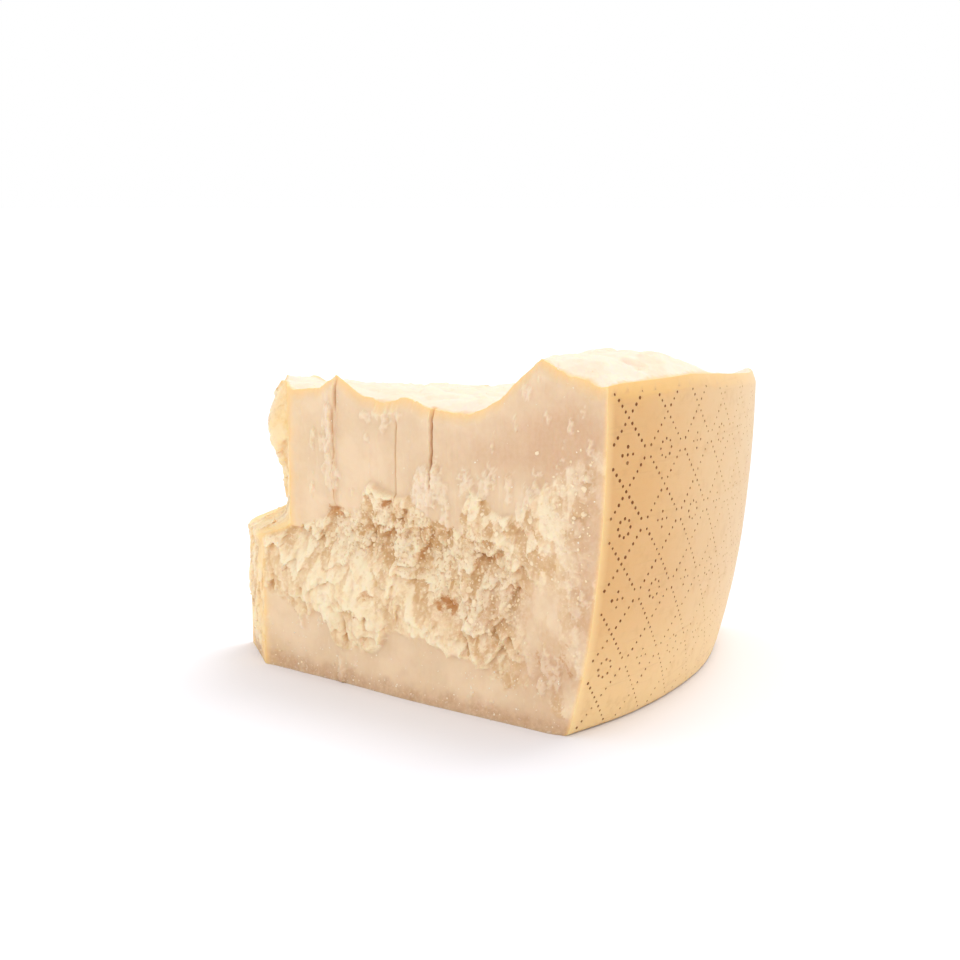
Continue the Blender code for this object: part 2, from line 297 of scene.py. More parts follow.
@dataclass(frozen=True)
class Spot:
    """A soft spot of the cut face: its middle, its half sizes, and how strong or how proud it is."""

    along: float
    height: float
    half_along: float
    half_height: float
    amount: float = 1.0

    def at(self, along: np.ndarray, height: np.ndarray) -> np.ndarray:
        """Its amount at each place, which falls off round its middle."""
        return self.amount * bell(
            np.hypot((along - self.along) / self.half_along, (height - self.height) / self.half_height)
        )


@dataclass(frozen=True)
class Slit:
    """A knife slit down the cut face, with the step in level across it."""

    along: float
    low: float
    high: float
    step: float
    depth: float
    half_width: float
    run_out: float = 0.005
    step_reach: float = 0.015


SLITS = (
    Slit(0.1172, 0.066, 0.110, 0.0013, 0.0, 0.0006),
    Slit(0.1172, 0.101, 0.112, 0.0, 0.0006, 0.0004),
    Slit(0.1180, 0.064, 0.101, 0.0, 0.0007, 0.0004),
    Slit(0.0888, 0.062, 0.098, -0.0007, 0.0015, 0.0005),
    Slit(0.0726, 0.077, 0.110, 0.0007, 0.0016, 0.0006),
)

# Broad swells of the cut face. The cheese broke away deeper under the upper knife cut, and bulges out above
# the lower one.
SWELLS = (
    Spot(0.1050, 0.0575, 0.0300, 0.0080, -0.0022),
    Spot(0.0600, 0.0560, 0.0200, 0.0110, -0.0024),
    Spot(0.0450, 0.0400, 0.0120, 0.0130, -0.0018),
    Spot(0.1300, 0.0380, 0.0240, 0.0120, 0.0024),
    Spot(0.0950, 0.0300, 0.0250, 0.0120, 0.0020),
    Spot(0.0650, 0.0250, 0.0180, 0.0090, 0.0010),
    Spot(0.0220, 0.0760, 0.0120, 0.0140, 0.0012),
)

# Hollows where crumbs fell out of the torn band.
HOLLOWS = (
    Spot(0.1190, 0.0655, 0.0046, 0.0040, -0.0034),
    Spot(0.0930, 0.0720, 0.0032, 0.0030, -0.0024),
    Spot(0.0500, 0.0570, 0.0044, 0.0036, -0.0032),
    Spot(0.0660, 0.0380, 0.0048, 0.0036, -0.0036),
    Spot(0.0370, 0.0480, 0.0040, 0.0050, -0.0030),
    Spot(0.1000, 0.0360, 0.0040, 0.0022, -0.0022),
    Spot(0.1090, 0.0280, 0.0050, 0.0020, -0.0018),
    Spot(0.1340, 0.0560, 0.0050, 0.0028, -0.0016),
    Spot(0.0790, 0.0480, 0.0036, 0.0028, -0.0016),
    Spot(0.0200, 0.0220, 0.0090, 0.0090, -0.0028),
)

# Where the torn band is a recess, painted a darker tan as shade, and where it bulges in folds, painted paler as light
# falling on them.
RECESS = (
    Spot(0.1080, 0.0580, 0.0260, 0.0110),
    Spot(0.0800, 0.0590, 0.0200, 0.0110),
    Spot(0.0600, 0.0560, 0.0200, 0.0130),
    Spot(0.0450, 0.0400, 0.0130, 0.0130),
    Spot(0.0680, 0.0440, 0.0120, 0.0080, 0.7),
    Spot(0.0500, 0.0430, 0.0110, 0.0090, 0.8),
)
FOLDS = (
    Spot(0.1430, 0.0420, 0.0130, 0.0110),
    Spot(0.1200, 0.0350, 0.0170, 0.0140),
    Spot(0.1080, 0.0250, 0.0120, 0.0130),
    Spot(0.0860, 0.0330, 0.0120, 0.0110, 0.9),
    Spot(0.0700, 0.0270, 0.0120, 0.0080, 0.8),
    Spot(0.1000, 0.0440, 0.0080, 0.0060, 0.5),
)

# Where the cheese beside the rind broke off smooth: a scoop, and a reddish patch below it.
SMOOTH = (
    Spot(0.0248, 0.0390, 0.0085, 0.0120, 1.4),
    Spot(0.0225, 0.0180, 0.0130, 0.0110, 1.0),
    Spot(0.0040, 0.0600, 0.0090, 0.0500, 0.9),
)

# Where thin pale sheets flake off the knife-cut stretches.
FLAKING = (
    Spot(0.1205, 0.0920, 0.0036, 0.0180, 1.0),
    Spot(0.1215, 0.0775, 0.0070, 0.0040, 0.8),
    Spot(0.0980, 0.1020, 0.0110, 0.0046, 0.8),
    Spot(0.1090, 0.0870, 0.0034, 0.0120, 0.6),
    Spot(0.0770, 0.0770, 0.0046, 0.0110, 0.9),
    Spot(0.0700, 0.0880, 0.0030, 0.0100, 0.6),
    Spot(0.0520, 0.0850, 0.0075, 0.0090, 1.1),
    Spot(0.0740, 0.0790, 0.0080, 0.0100, 0.7),
    Spot(0.0230, 0.0780, 0.0120, 0.0130, 0.9),
    Spot(0.0320, 0.0640, 0.0060, 0.0120, 0.7),
    Spot(0.0235, 0.1075, 0.0024, 0.0046, 0.9),
    Spot(0.0330, 0.1170, 0.0024, 0.0024, 0.9),
    Spot(0.0070, 0.0950, 0.0060, 0.0200, 0.5),
    Spot(0.0090, 0.0420, 0.0060, 0.0160, 0.5),
    Spot(0.0220, 0.0200, 0.0120, 0.0090, 0.8),
    Spot(0.1240, 0.0330, 0.0400, 0.0100, 0.3),
)

# Where the paste is darker and pinker, where warm orange-brown shade is painted in a hollow, or where it is browned
# towards the wheel's flat face.
BLUSH = (
    Spot(0.0150, 0.1020, 0.0170, 0.0130, 1.0),
    Spot(0.0300, 0.0960, 0.0200, 0.0120, 0.4),
    Spot(0.0080, 0.0700, 0.0090, 0.0270, 0.9),
    Spot(0.0220, 0.0190, 0.0120, 0.0110, 1.3),
    Spot(0.0080, 0.0400, 0.0060, 0.0150, 0.7),
    Spot(0.0500, 0.0930, 0.0220, 0.0090, 0.5),
    # The last two also darken the low part of the recess, as painted shade.
    Spot(0.0420, 0.0440, 0.0120, 0.0110, 0.9),
    Spot(0.0560, 0.0360, 0.0160, 0.0080, 0.6),
)
WARM_SHADE_SPOTS = (
    Spot(0.1190, 0.0650, 0.0050, 0.0022, 1.0),
    Spot(0.0660, 0.0375, 0.0066, 0.0034, 1.2),
    Spot(0.0508, 0.0558, 0.0056, 0.0034, 1.0),
    Spot(0.0160, 0.0250, 0.0024, 0.0070, 0.6),
    Spot(0.0270, 0.0230, 0.0024, 0.0050, 0.5),
    Spot(0.0936, 0.0712, 0.0032, 0.0024, 0.8),
    Spot(0.0370, 0.0460, 0.0032, 0.0036, 0.5),
    Spot(0.1000, 0.0356, 0.0036, 0.0013, 0.7),
    Spot(0.1095, 0.0278, 0.0050, 0.0013, 0.6),
    Spot(0.0850, 0.0580, 0.0030, 0.0040, 0.4),
)
CRUST = (
    Spot(0.1490, 0.0050, 0.0110, 0.0070, 0.5),
    Spot(0.0250, 0.0010, 0.0500, 0.0060, 0.3),
)

# The shares that the mesh carries for its materials and for what is scattered on it.
# Some carry painted light and shade: glow and rim paint light shining through thin edges, hollow and proud paint shade
# and highlight by relief, and the recess, the folds and the warm orange shade share paint shade and light in the torn
# band.
MARKS = (
    "torn", "slit", "chalk", "recess", "folds", "blush", "warm_shade", "crust", "glow", "hollow", "proud", "lid", "tone",
    "chips", "specks", "rim",
)


def total(spots: Sequence[Spot], along: np.ndarray, height: np.ndarray) -> np.ndarray:
    """The amounts of some spots added up at each place."""
    return sum(spot.at(along, height) for spot in spots)


@dataclass
class Surface:
    """The wedge's relief: how far each of its faces stands in or out, and the height of its top."""

    plan: Plan = Plan()

    # The torn band across the cut face, between the two knife cuts, as heights along the face.
    band_top: tuple = (
        (0.000, 0.020, 0.033, 0.045, 0.055, 0.062, 0.072, 0.082, 0.100, 0.108, 0.130, 0.160),
        (0.100, 0.088, 0.076, 0.075, 0.082, 0.066, 0.066, 0.074, 0.077, 0.067, 0.061, 0.052),
    )
    band_foot: tuple = (
        (0.015, 0.040, 0.070, 0.090, 0.100, 0.112, 0.126, 0.140, 0.158),
        (0.008, 0.015, 0.023, 0.023, 0.013, 0.012, 0.024, 0.027, 0.030),
    )
    top_softness: float = 0.0009
    foot_softness: float = 0.0014
    band_belly: float = 0.0010
    lip: float = 0.0012
    lip_steepness: float = 2.2
    foot_flare: float = 0.0018
    foot_flare_height: float = 0.018
    foot_flare_ends: tuple = (0.080, 0.130)
    rind_quiet_share: float = 0.30
    rind_quiet: tuple = (0.012, 0.042)
    sheet_lift: float = 0.0011
    crust_height: tuple = (0.0012, 0.0085)

    # Heights of the top: its edge on the cut face, its edge on the rind by angle, and inside.
    cut_edge: tuple = (
        (0.000, 0.015, 0.027, 0.035, 0.044, 0.057, 0.066, 0.086, 0.098, 0.108, 0.118, 0.124, 0.145),
        (0.1195, 0.1205, 0.1265, 0.1205, 0.1115, 0.1062, 0.1055, 0.1088, 0.1075, 0.1095, 0.1138, 0.1105, 0.1105),
    )
    rind_edge: tuple = ((0.0, 13.0, 34.0, 50.0), (0.1198, 0.1196, 0.1125, 0.1080))
    hump_height: float = 0.1264
    hump_end_along: float = 0.0370
    hump_end_slant: float = 0.10
    hump_end_softness: float = 0.008
    hump_back: tuple = (0.045, 0.105)
    plateau_height: float = 0.1100
    back_fall: float = 0.0055
    back_fall_reach: float = 0.088
    edge_blend: float = 0.0110
    rind_thickness: float = 0.004
    step_softness: tuple = ((0.0010, 0.0), (-0.0010, 0.0), (0.0, 0.0010), (0.0, -0.0010))

    # Lumps that stand out of the broken tip: height, half height and reach.
    tip_lumps: tuple = ((0.0950, 0.0120, 0.0055), (0.0530, 0.0055, 0.0030))
    soft_corner: float = 0.006
    sharp_corner: float = 0.010
    foot_fade: tuple = (0.001, 0.012)
    tip_roughness: float = 0.75
    back_torn_from: tuple = (0.010, 0.030)
    back_torn_to: tuple = (0.080, 0.100)
    knife_roughness: float = 0.15
    arris: float = 0.0018
    # Reaches of the painted glow, which stands in for light shining through thin edges, and of the painted orange band
    # under the rind's top edge.
    glow_reach: float = 0.0048
    tip_glow_reach: float = 0.0160
    edge_glow_reach: float = 0.0030
    rim_glow_reach: float = 0.0080
    ledge_glow: tuple = (0.0570, 0.0060)
    rind_glow_reach: float = 0.0016

    def bent(self, along: np.ndarray, inward: np.ndarray, height: np.ndarray, seed: float) -> tuple:
        """Places pushed about by soft noise, so that what is laid out on them gets ragged edges."""
        push, lift = (
            0.0024 * wave(along, inward, height, 0.0095, seed + shift)
            + 0.0010 * wave(along, inward, height, 0.0034, seed + shift + 0.6)
            for shift in (1.3, 2.6)
        )
        return along + push, inward + push, height + lift

    def crags(self, along: np.ndarray, inward: np.ndarray, height: np.ndarray, seed: float) -> np.ndarray:
        """Broken relief from large crags down to crumbs.

        Args:
            along: Places along the cut face.
            inward: Places into the cheese.
            height: Heights above the foot.
            seed: Shifts the pattern.

        Returns:
            The relief in metres.
        """
        bent = self.bent(along, inward, height, seed)
        large = Grain(0.0150, 0.0024, seed).at(*bent) + Grain(0.0075, 0.0013, seed + 7.7).at(*bent)
        medium = Grain(0.0040, 0.00095, seed + 3.1, 0.50, 0.9).at(*bent)
        small = Grain(0.0020, 0.00022, seed + 5.9, 0.7, 0.6).at(*bent)
        soft = 0.0008 * wave(*bent, 0.0050, seed + 6.6) + 0.00010 * wave(*bent, 0.0012, seed + 8.2)
        return large + medium + small + soft

    def folded(self, along: np.ndarray, inward: np.ndarray, height: np.ndarray, seed: float) -> np.ndarray:
        """Relief of rounded folds with creases between them."""
        bent = self.bent(along, inward, height, seed)
        large = Grain(0.0140, 0.0030, seed, 0.50).rounded(*bent)
        medium = Grain(0.0065, 0.0013, seed + 2.2, 0.45).rounded(*bent) + Grain(0.0050, 0.0009, seed + 3.3, 0.45).at(*bent)
        small = Grain(0.0026, 0.00030, seed + 4.1, 0.6).at(*bent)
        return large + medium + small + 0.00006 * wave(*bent, 0.0012, seed + 5.0)

    def broken(self, side: "Places", torn: np.ndarray, folds: np.ndarray, seed: float) -> np.ndarray:
        """Relief of torn cheese: rough crags, with rounded folds over them where it bulges.

        Args:
            side: Places on a side.
            torn: How torn each place is.
            folds: How much of it is rounded folds.
            seed: Shifts the pattern.

        Returns:
            The relief in metres.
        """
        at = (side.along, side.inward, side.height)
        grit = Grain(0.0028, 0.00045, seed + 10.0, 0.7).at(*at) + 0.00016 * wave(*at, 0.0013, seed + 12.0)
        rough = self.band_belly + self.crags(*at, seed) * (1 - 0.6 * folds) + grit * (1 - folds)
        return torn * rough + folds * self.folded(*at, seed + 6.0)

    def tones(self, along: np.ndarray, inward: np.ndarray, height: np.ndarray, seed: float) -> np.ndarray:
        """How pale each grain of the torn paste is, from 0 to 1."""
        bent = self.bent(along, inward, height, seed)
        mixed = 0.8 * Grain(0.0075, 0, seed + 7.7).tone(*bent) + 0.9 * Grain(0.0040, 0, seed + 3.1, 0.50).tone(*bent)
        return np.clip(0.5 + mixed + 0.5 * wave(*bent, 0.0100, seed + 4.4), 0, 1)

    def torn_share(self, along: np.ndarray, height: np.ndarray) -> np.ndarray:
        """How torn the cut face is: 1 inside the band and 0 on the knife cuts."""
        flat = 0 * along
        swing = 0.0045 * wave(along, flat, height, 0.012, 3.1) + 0.0022 * wave(along, flat, height, 0.0040, 9.4)
        swing = swing + 0.0009 * wave(along, flat, height, 0.0016, 12.4)
        top = np.interp(along, *self.band_top) + swing
        foot = np.interp(along, *self.band_foot) + swing
        above_foot = ease(height, foot - self.foot_softness, foot + self.foot_softness)
        smooth = np.clip(total(SMOOTH, along + 0.3 * swing, height + 0.3 * swing), 0, 0.85)
        return above_foot * (1 - ease(height, top - self.top_softness, top + self.top_softness)) * (1 - smooth)

    def sheets(self, along: np.ndarray, height: np.ndarray) -> tuple[np.ndarray, np.ndarray]:
        """Thin sheets that flake off the knife-cut stretches.

        Args:
            along: Places along the cut face.
            height: Heights above the foot.

        Returns:
            How many sheets lie on each other at each place, and how much of a ragged edge is there.
        """
        flat = 0 * along
        flaking = total(FLAKING, along, height)
        count, edge = flat, flat
        for seed, threshold in ((14.0, 0.66), (19.0, 0.94)):
            ragged = wave(along, flat, 0.5 * height, 0.0070, seed) + 0.5 * wave(along, flat, 0.6 * height, 0.0025, seed + 1)
            ragged = ragged + 0.3 * wave(along, flat, height, 0.0012, seed + 2)
            share = ease(0.95 * flaking + ragged, threshold, threshold + 0.05)
            count = count + share
            edge = np.maximum(edge, 4 * share * (1 - share))
        return count, edge

    def slits(self, along: np.ndarray, height: np.ndarray) -> tuple[np.ndarray, np.ndarray]:
        """Relief of the knife slits, and the share of each place that lies in one."""
        flat = 0 * along
        relief, inside = flat, flat
        for slit in SLITS:
            wander = 0.0006 * wave(flat + slit.along, flat, height, 0.012, 6.0)
            wander = wander + 0.0003 * wave(flat + slit.along, flat, height, 0.003, 7.0)
            off = along - slit.along - wander
            reach = ease(height, slit.low, slit.low + slit.run_out)
            reach = reach * (1 - ease(height, slit.high, slit.high + slit.run_out))
            width = slit.half_width * (0.65 + 0.6 * ease(height, slit.low, slit.high))
            groove = reach * np.clip(1 - np.abs(off) / width, 0, 1)
            relief = relief - slit.depth * groove
            relief = relief + slit.step * reach * np.clip(1 - off / slit.step_reach, 0, 1) * ease(off, 0, width)
            inside = np.maximum(inside, groove * (slit.depth > 0))
        return relief, inside

    def cut_face(self, side: "Places") -> tuple[np.ndarray, dict[str, np.ndarray]]:
        """Relief of the cut face, with the shares that its colours need.

        Args:
            side: Places on the cut face.

        Returns:
            The relief, and the shares by name.
        """
        along, height = side.along, side.height
        flat = 0 * along
        torn = self.torn_share(along, height)
        quiet = self.rind_quiet_share + (1 - self.rind_quiet_share) * ease(along, *self.rind_quiet)
        uneven = 0.25 * wave(along, flat, height, 0.0060, 27.0) + 0.12 * wave(along, flat, height, 0.0022, 28.0)
        folds = np.clip(total(FOLDS, along, height) + uneven, 0, 1) * torn
        recess = np.clip(total(RECESS, along, height) + uneven, 0, 1) * torn * (1 - folds)
        crust = 1 - ease(height + 0.010 * uneven, *self.crust_height)
        crust = np.clip(crust + total(CRUST, along, height) * (0.8 + uneven), 0, 1)
        relief = 0.0005 * wave(along, flat, height, 0.035, 1.7) + total(SWELLS, along, height)
        relief += self.broken(side, torn * quiet, folds, 11.0) - self.lip * recess
        flare_ends = 1 - ease(along, *self.foot_flare_ends)
        relief += self.foot_flare * (1 - ease(height, 0, self.foot_flare_height)) * flare_ends
        slit_relief, slit_share = self.slits(along, height)
        count, edge = self.sheets(along, height)
        on_knife_cut = 1 - 0.85 * torn
        flaky = 0.75 + 0.9 * wave(along, flat, 0.6 * height, 0.0020, 29.0)
        relief += slit_relief * (1 - 0.3 * torn) + self.sheet_lift * count * flaky * on_knife_cut
        for hollow in HOLLOWS:
            up = height - hollow.height + 0.0050 * uneven
            steep = np.where(up > 0, self.lip_steepness * up, up)
            relief += 0.7 * hollow.at(along + 0.0090 * uneven, hollow.height + steep) * (0.8 + 1.6 * uneven)
        scrape = wave(along * 22, flat, height * 1.2, 0.022, 4.4)
        relief += (1 - torn) * 0.00007 * scrape
        patch = np.clip(total(CRUST[:1], along, height) + total(BLUSH[2:3], along, height), 0, 1)
        relief += patch * Grain(0.0026, 0.00085, 25.0, 0.8).at(along, flat, height)
        relief = relief * (0.25 + 0.75 * ease(side.gap, 0, self.soft_corner))
        blush = np.clip(total(BLUSH, along, height) + uneven, 0, 1)
        # A painted shadow under the recess's upper lip, and a painted glow along the thin edges at the tip and beside
        # the rind.
        lip_shadow = 4 * torn * (1 - torn) * np.clip(total(RECESS[:3], along, height), 0, 1) * ease(uneven, -0.05, 0.10)
        tip_gap = np.where(along > self.plan.tip_follow, side.gap, self.tip_glow_reach)
        rind_gap = np.where(along < self.plan.rind_follow, side.gap, self.rind_glow_reach)
        tip_glow = 0.15 * (1 - tip_gap / self.tip_glow_reach) + 0.7 * (1 - tip_gap / self.edge_glow_reach).clip(0)
        glow = np.maximum(tip_glow + uneven * (tip_gap < self.glow_reach), 0.7 * (1 - rind_gap / self.rind_glow_reach))
        off_edge = ease(side.gap, 0.003, 0.006)
        return relief, {
            "torn": torn,
            "slit": slit_share,
            "chalk": np.clip(0.6 * count + 0.5 * edge, 0, 1) * on_knife_cut,
            "recess": recess,
            "folds": folds,
            "tone": self.tones(along, flat, height, 11.0),
            "blush": blush,
            "warm_shade": np.clip(total(WARM_SHADE_SPOTS, along + 0.010 * uneven, height) * (1 + 3 * uneven) + 0.6 * lip_shadow, 0, 1),
            "crust": crust,
            "glow": np.clip(glow, 0, 1),
            "chips": np.clip(0.15 * torn + 0.7 * recess + 0.25 * edge + 0.6 * patch - 0.5 * folds, 0, 1) * off_edge,
            "specks": (0.12 + 0.88 * (1 - ease(height, 0.008, 0.026))) * ease(side.gap, 0.002, 0.004),
        }

    def side(self, stretch: Stretch, side: "Places") -> tuple[np.ndarray, dict[str, np.ndarray]]:
        """Relief of any side, with the shares that its colours need.

        Args:
            stretch: The stretch of the outline.
            side: Places on it.

        Returns:
            The relief, and the shares by name.
        """
        along, inward, height = side.along, side.inward, side.height
        flat = 0 * along
        if stretch is Stretch.CUT:
            return self.cut_face(side)
        if stretch is Stretch.RIND:
            relief = 0.0005 * wave(along, inward, height, 0.035, 5.5)
            relief += 0.00012 * wave(along, inward, height, 0.008, 6.5)
            # A painted glow along the rind's thin corner.
            return relief, {"glow": np.clip(0.9 * (1 - side.gap / self.rind_glow_reach), 0, 1)}
        open_face = ease(side.gap, -0.3 * self.sharp_corner, self.sharp_corner) * ease(height, *self.foot_fade)
        uneven = 0.25 * wave(along, inward, height, 0.0060, 27.0) + 0.12 * wave(along, inward, height, 0.0022, 28.0)
        crust = np.clip(1 - ease(height + 0.010 * uneven, *self.crust_height), 0, 1)
        if stretch is Stretch.TIP:
            folds = np.clip(0.5 + 3 * uneven, 0, 1)
            relief = self.tip_roughness * open_face * self.broken(side, flat + 1, folds, 23.0)
            for level, spread, reach in self.tip_lumps:
                corner = ease(side.gap, -0.2 * self.sharp_corner, self.sharp_corner)
                relief += reach * bell((height - level) / spread) * corner
            # A painted glow over the thin broken tip, strongest along the ledge.
            glow = 0.80 - 0.26 * side.gap / self.glow_reach + 2 * uneven
            glow = np.clip(glow + 0.35 * bell((height - self.ledge_glow[0]) / self.ledge_glow[1]), 0, 0.9)
            tone = self.tones(along, inward, height, 23.0)
            marks = {"torn": flat + 1, "folds": folds, "tone": tone, "crust": crust, "glow": glow}
            return relief, marks | {"chips": 0.2 * ease(side.gap, 0.004, 0.010), "specks": flat + 0.04}
        torn = (1 - ease(height, *self.back_torn_to)) * ease(height, *self.back_torn_from)
        share = self.knife_roughness + (1 - self.knife_roughness) * torn
        folds = np.clip(1.5 * wave(along, inward, height, 0.035, 33.0) + 0.2 + uneven, 0, 1) * torn
        relief = open_face * self.broken(side, share, folds, 31.0)
        blush = np.clip(wave(along, inward, height, 0.035, 35.0) + uneven, 0, 1)
        marks = {"torn": torn, "folds": folds, "recess": (1 - folds) * torn * 0.7, "blush": blush, "crust": crust}
        tone = self.tones(along, inward, height, 31.0)
        return relief, marks | {"tone": tone, "chips": 0.5 * torn, "specks": flat + 0.5}

    def top(self, along: np.ndarray, inward: np.ndarray) -> np.ndarray:
        """Height of the split top.

        Args:
            along: Places along the cut face.
            inward: Places into the cheese.

        Returns:
            The heights.
        """
        wheel = self.plan.wheel
        rind_gap = wheel.rind_gap(along, inward)
        hump_end = self.hump_end_along + self.hump_end_slant * inward
        on_hump = 1 - ease(along, hump_end - self.hump_end_softness, hump_end + self.hump_end_softness)
        on_hump = on_hump * (1 - ease(inward, *self.hump_back))
        level = self.plateau_height - self.back_fall * ease(inward, -0.010, self.back_fall_reach)
        level = level + (self.hump_height - level) * on_hump
        rind_level = np.interp(wheel.turn_at(along, inward), *self.rind_edge)
        level = level + (rind_level - level) * (1 - ease(rind_gap, 0, 1.5 * self.edge_blend))
        cut_level = np.interp(along, *self.cut_edge)
        level = level + (cut_level - level) * (1 - ease(inward, 0, self.edge_blend))
        inside_rind = ease(rind_gap, 0, self.rind_thickness)
        flat = 0 * along
        push = 0.0020 * wave(along, inward, flat, 0.0100, 51.0)
        coarse = sum(
            Grain(0.0150, 0.0016, 41.0, 1.0, 0.0).at(along + push + a, inward - push + b, flat)
            + Grain(0.0060, 0.0010, 43.0, 1.0, 0.0).at(along + push + a, inward - push + b, flat)
            for a, b in self.step_softness
        ) / len(self.step_softness)
        fine = Grain(0.0032, 0.00035, 47.0, 1.0, 0.0).at(along + push, inward + push, flat)
        inside = ease(inward, 0.045, 0.075) * ease(rind_gap, 0.004, 0.014)
        lumps = Grain(0.0090, 0.0010, 53.0, 1.0, 0.0).at(along + push, inward - push, flat)
        return level + inside_rind * (coarse + fine) + inside * (1 - on_hump) * lumps


@dataclass(frozen=True)
class Spacing:
    """Mesh spacing of the fine surface."""

    cut: float = 0.00062
    slit: float = 0.0003
    slit_reach: float = 0.0015
    tip: float = 0.0011
    back: float = 0.0013
    rind: float = 0.0036
    low_row: float = 0.00064
    high_row: float = 0.00090
    row_change: float = 0.092
    back_stride: int = 2
    rind_stride: int = 4
    top: float = 0.00150
    top_rim_gap: float = 0.0009
    top_hollow: float = 0.0025
    join: float = 1e-6


@dataclass
class CheeseWedge:
    """The wedge itself: one closed mesh with the shares that its materials read."""

    surface: Surface = field(default_factory=Surface)
    spacing: Spacing = Spacing()
    corner_x: float = 0.0308
    corner_y: float = -0.07725
    cut_face_turn: float = math.radians(142.8)
    sharp_angle: float = math.radians(38)
    droop: float = 0.55
    corner_inset: float = 0.5
    smoothing: float = 0.6
    blur_cells: int = 5
    bare_foot: tuple = (0.0014, 0.0030)
    hollow_scale: float = 0.0010

    def model_places(self, along: np.ndarray, inward: np.ndarray, height: np.ndarray) -> np.ndarray:
        """Places of the cut face's frame in the model's own frame."""
        cosine, sine = math.cos(self.cut_face_turn), math.sin(self.cut_face_turn)
        x = self.corner_x + along * cosine + inward * sine
        y = self.corner_y + along * sine - inward * cosine
        return np.stack(np.broadcast_arrays(x, y, height), axis=-1)

    def cut_places(self) -> np.ndarray:
        """Places of the mesh columns on the cut face, closer together beside each slit."""
        end = self.surface.plan.middle_tip
        places = np.linspace(0, end, int(end / self.spacing.cut))[:-1]
        reach, step = self.spacing.slit_reach, self.spacing.slit
        for slit in SLITS:
            beside = np.arange(slit.along - reach, slit.along + reach + step / 2, step)
            away = np.abs(places - slit.along) > reach + step
            places = np.sort(np.concatenate((places[away], beside)))
        return places

    def columns(self) -> list[tuple[Stretch, np.ndarray]]:
        """The columns' places on each stretch, in order round the outline."""
        high = np.array(self.surface.plan.wheel.half_height)
        corners = [np.array(corner) for corner in self.surface.plan.corners(high)]
        listed = [(Stretch.CUT, self.cut_places())]
        steps = ((Stretch.TIP, self.spacing.tip), (Stretch.BACK, self.spacing.back), (Stretch.RIND, self.spacing.rind))
        for (stretch, step), start, end in zip(steps, corners[1:], corners[2:] + corners[:1]):
            count = int(np.linalg.norm(end - start) / step)
            listed.append((stretch, np.arange(count) / count))
        return listed

    def rows(self) -> np.ndarray:
        """Shares of the local height at which the rows lie, closer together below the upper knife cut."""
        height = self.surface.plan.wheel.half_height
        low = np.arange(0, self.spacing.row_change, self.spacing.low_row)
        high = np.arange(self.spacing.row_change, height, self.spacing.high_row)
        shares = np.concatenate((low, high)) / height
        spare = (len(shares) - 1) % self.spacing.rind_stride
        return np.concatenate((shares[: len(shares) - 1 - spare], [1.0]))

    def stride(self, stretch: Stretch) -> int:
        """How many rows each face of a stretch spans: more where the surface is smooth or out of sight."""
        return {Stretch.BACK: self.spacing.back_stride, Stretch.RIND: self.spacing.rind_stride}.get(stretch, 1)

    def side_faces(self, row_count: int, stretches: Sequence[Stretch]) -> tuple[list[list[int]], list[int]]:
        """The sides' faces, each as tall as the coarser of its two columns, and their material slots.

        Args:
            row_count: How many rows the grid has.
            stretches: Each column's stretch.

        Returns:
            The faces as indices into the grid, and their slots.
        """
        count, last, single = len(stretches), row_count - 1, self.spacing.rind_stride
        faces, skins = [], []
        for column, stretch in enumerate(stretches):
            following = (column + 1) % count
            here, there = self.stride(stretch), self.stride(stretches[following])
            tall = max(here, there)
            skin = Skin.RIND if stretch is Stretch.RIND else Skin.PASTE
            ends = [(row, 1) for row in (*range(single), *range(last - single, last))]
            for row, rise in ends + [(row, tall) for row in range(single, last - single, tall)]:
                left = [(row + k) * count + column for k in range(rise, -1, -min(here, rise))]
                right = [(row + k) * count + following for k in range(0, rise + 1, min(there, rise))]
                faces.append(left + right)
                skins.append(skin.value)
        return faces, skins

    def blurred(self, grid: np.ndarray, cells: int) -> np.ndarray:
        """A grid evened out over some cells each way, wrapped round the outline."""
        kernel = np.hanning(2 * cells + 3)[1:-1]
        kernel = kernel / kernel.sum()
        tall = np.pad(grid, ((cells, cells), (0, 0)), mode="edge")
        tall = sum(weight * tall[k : k + grid.shape[0]] for k, weight in enumerate(kernel))
        wide = np.pad(tall, ((0, 0), (cells, cells)), mode="wrap")
        return sum(weight * wide[:, k : k + grid.shape[1]] for k, weight in enumerate(kernel))

    def side_grid(self) -> tuple[np.ndarray, dict[str, np.ndarray], list[Stretch]]:
        """The sides as a grid of rows and columns.

        Returns:
            Positions in the cut face's frame, the shares that the materials read, and each column's stretch.
        """
        surface, shares_up = self.surface, self.rows()[:, None]
        blocks: list[Places] = []
        reliefs, marks, stretches = [], [], []
        rims = []
        for stretch, place in self.columns():
            rim = surface.plan.outline(stretch, place[None, :], np.array([[surface.plan.wheel.half_height]]))
            rim_height = surface.top(rim.along, rim.inward)
            height = shares_up * rim_height
            side = surface.plan.outline(stretch, place[None, :], height)
            relief, found = surface.side(stretch, side)
            below_rim = rim_height - height
            corner = np.clip(1 - below_rim / surface.arris, 0, 1)
            relief = relief - surface.arris * (1 - np.sqrt(1 - corner**2)) * ease(side.gap, 0, surface.soft_corner)
            relief = np.maximum(relief, -self.corner_inset * side.gap)
            blocks.append(side)
            reliefs.append(relief)
            found |= {name: found[name] * ease(height, *self.bare_foot) for name in ("chips", "specks") if name in found}
            marks.append({name: found.get(name, 0 * relief) for name in MARKS})
            rims.append(below_rim)
            stretches += [stretch] * len(place)
        relief = np.concatenate(reliefs, axis=1)
        shares = {name: np.concatenate([found[name] for found in marks], axis=1) for name in marks[0]}
        below_rim = np.concatenate(rims, axis=1)
        relief = relief + self.smoothing * (self.blurred(relief, 1) - relief)
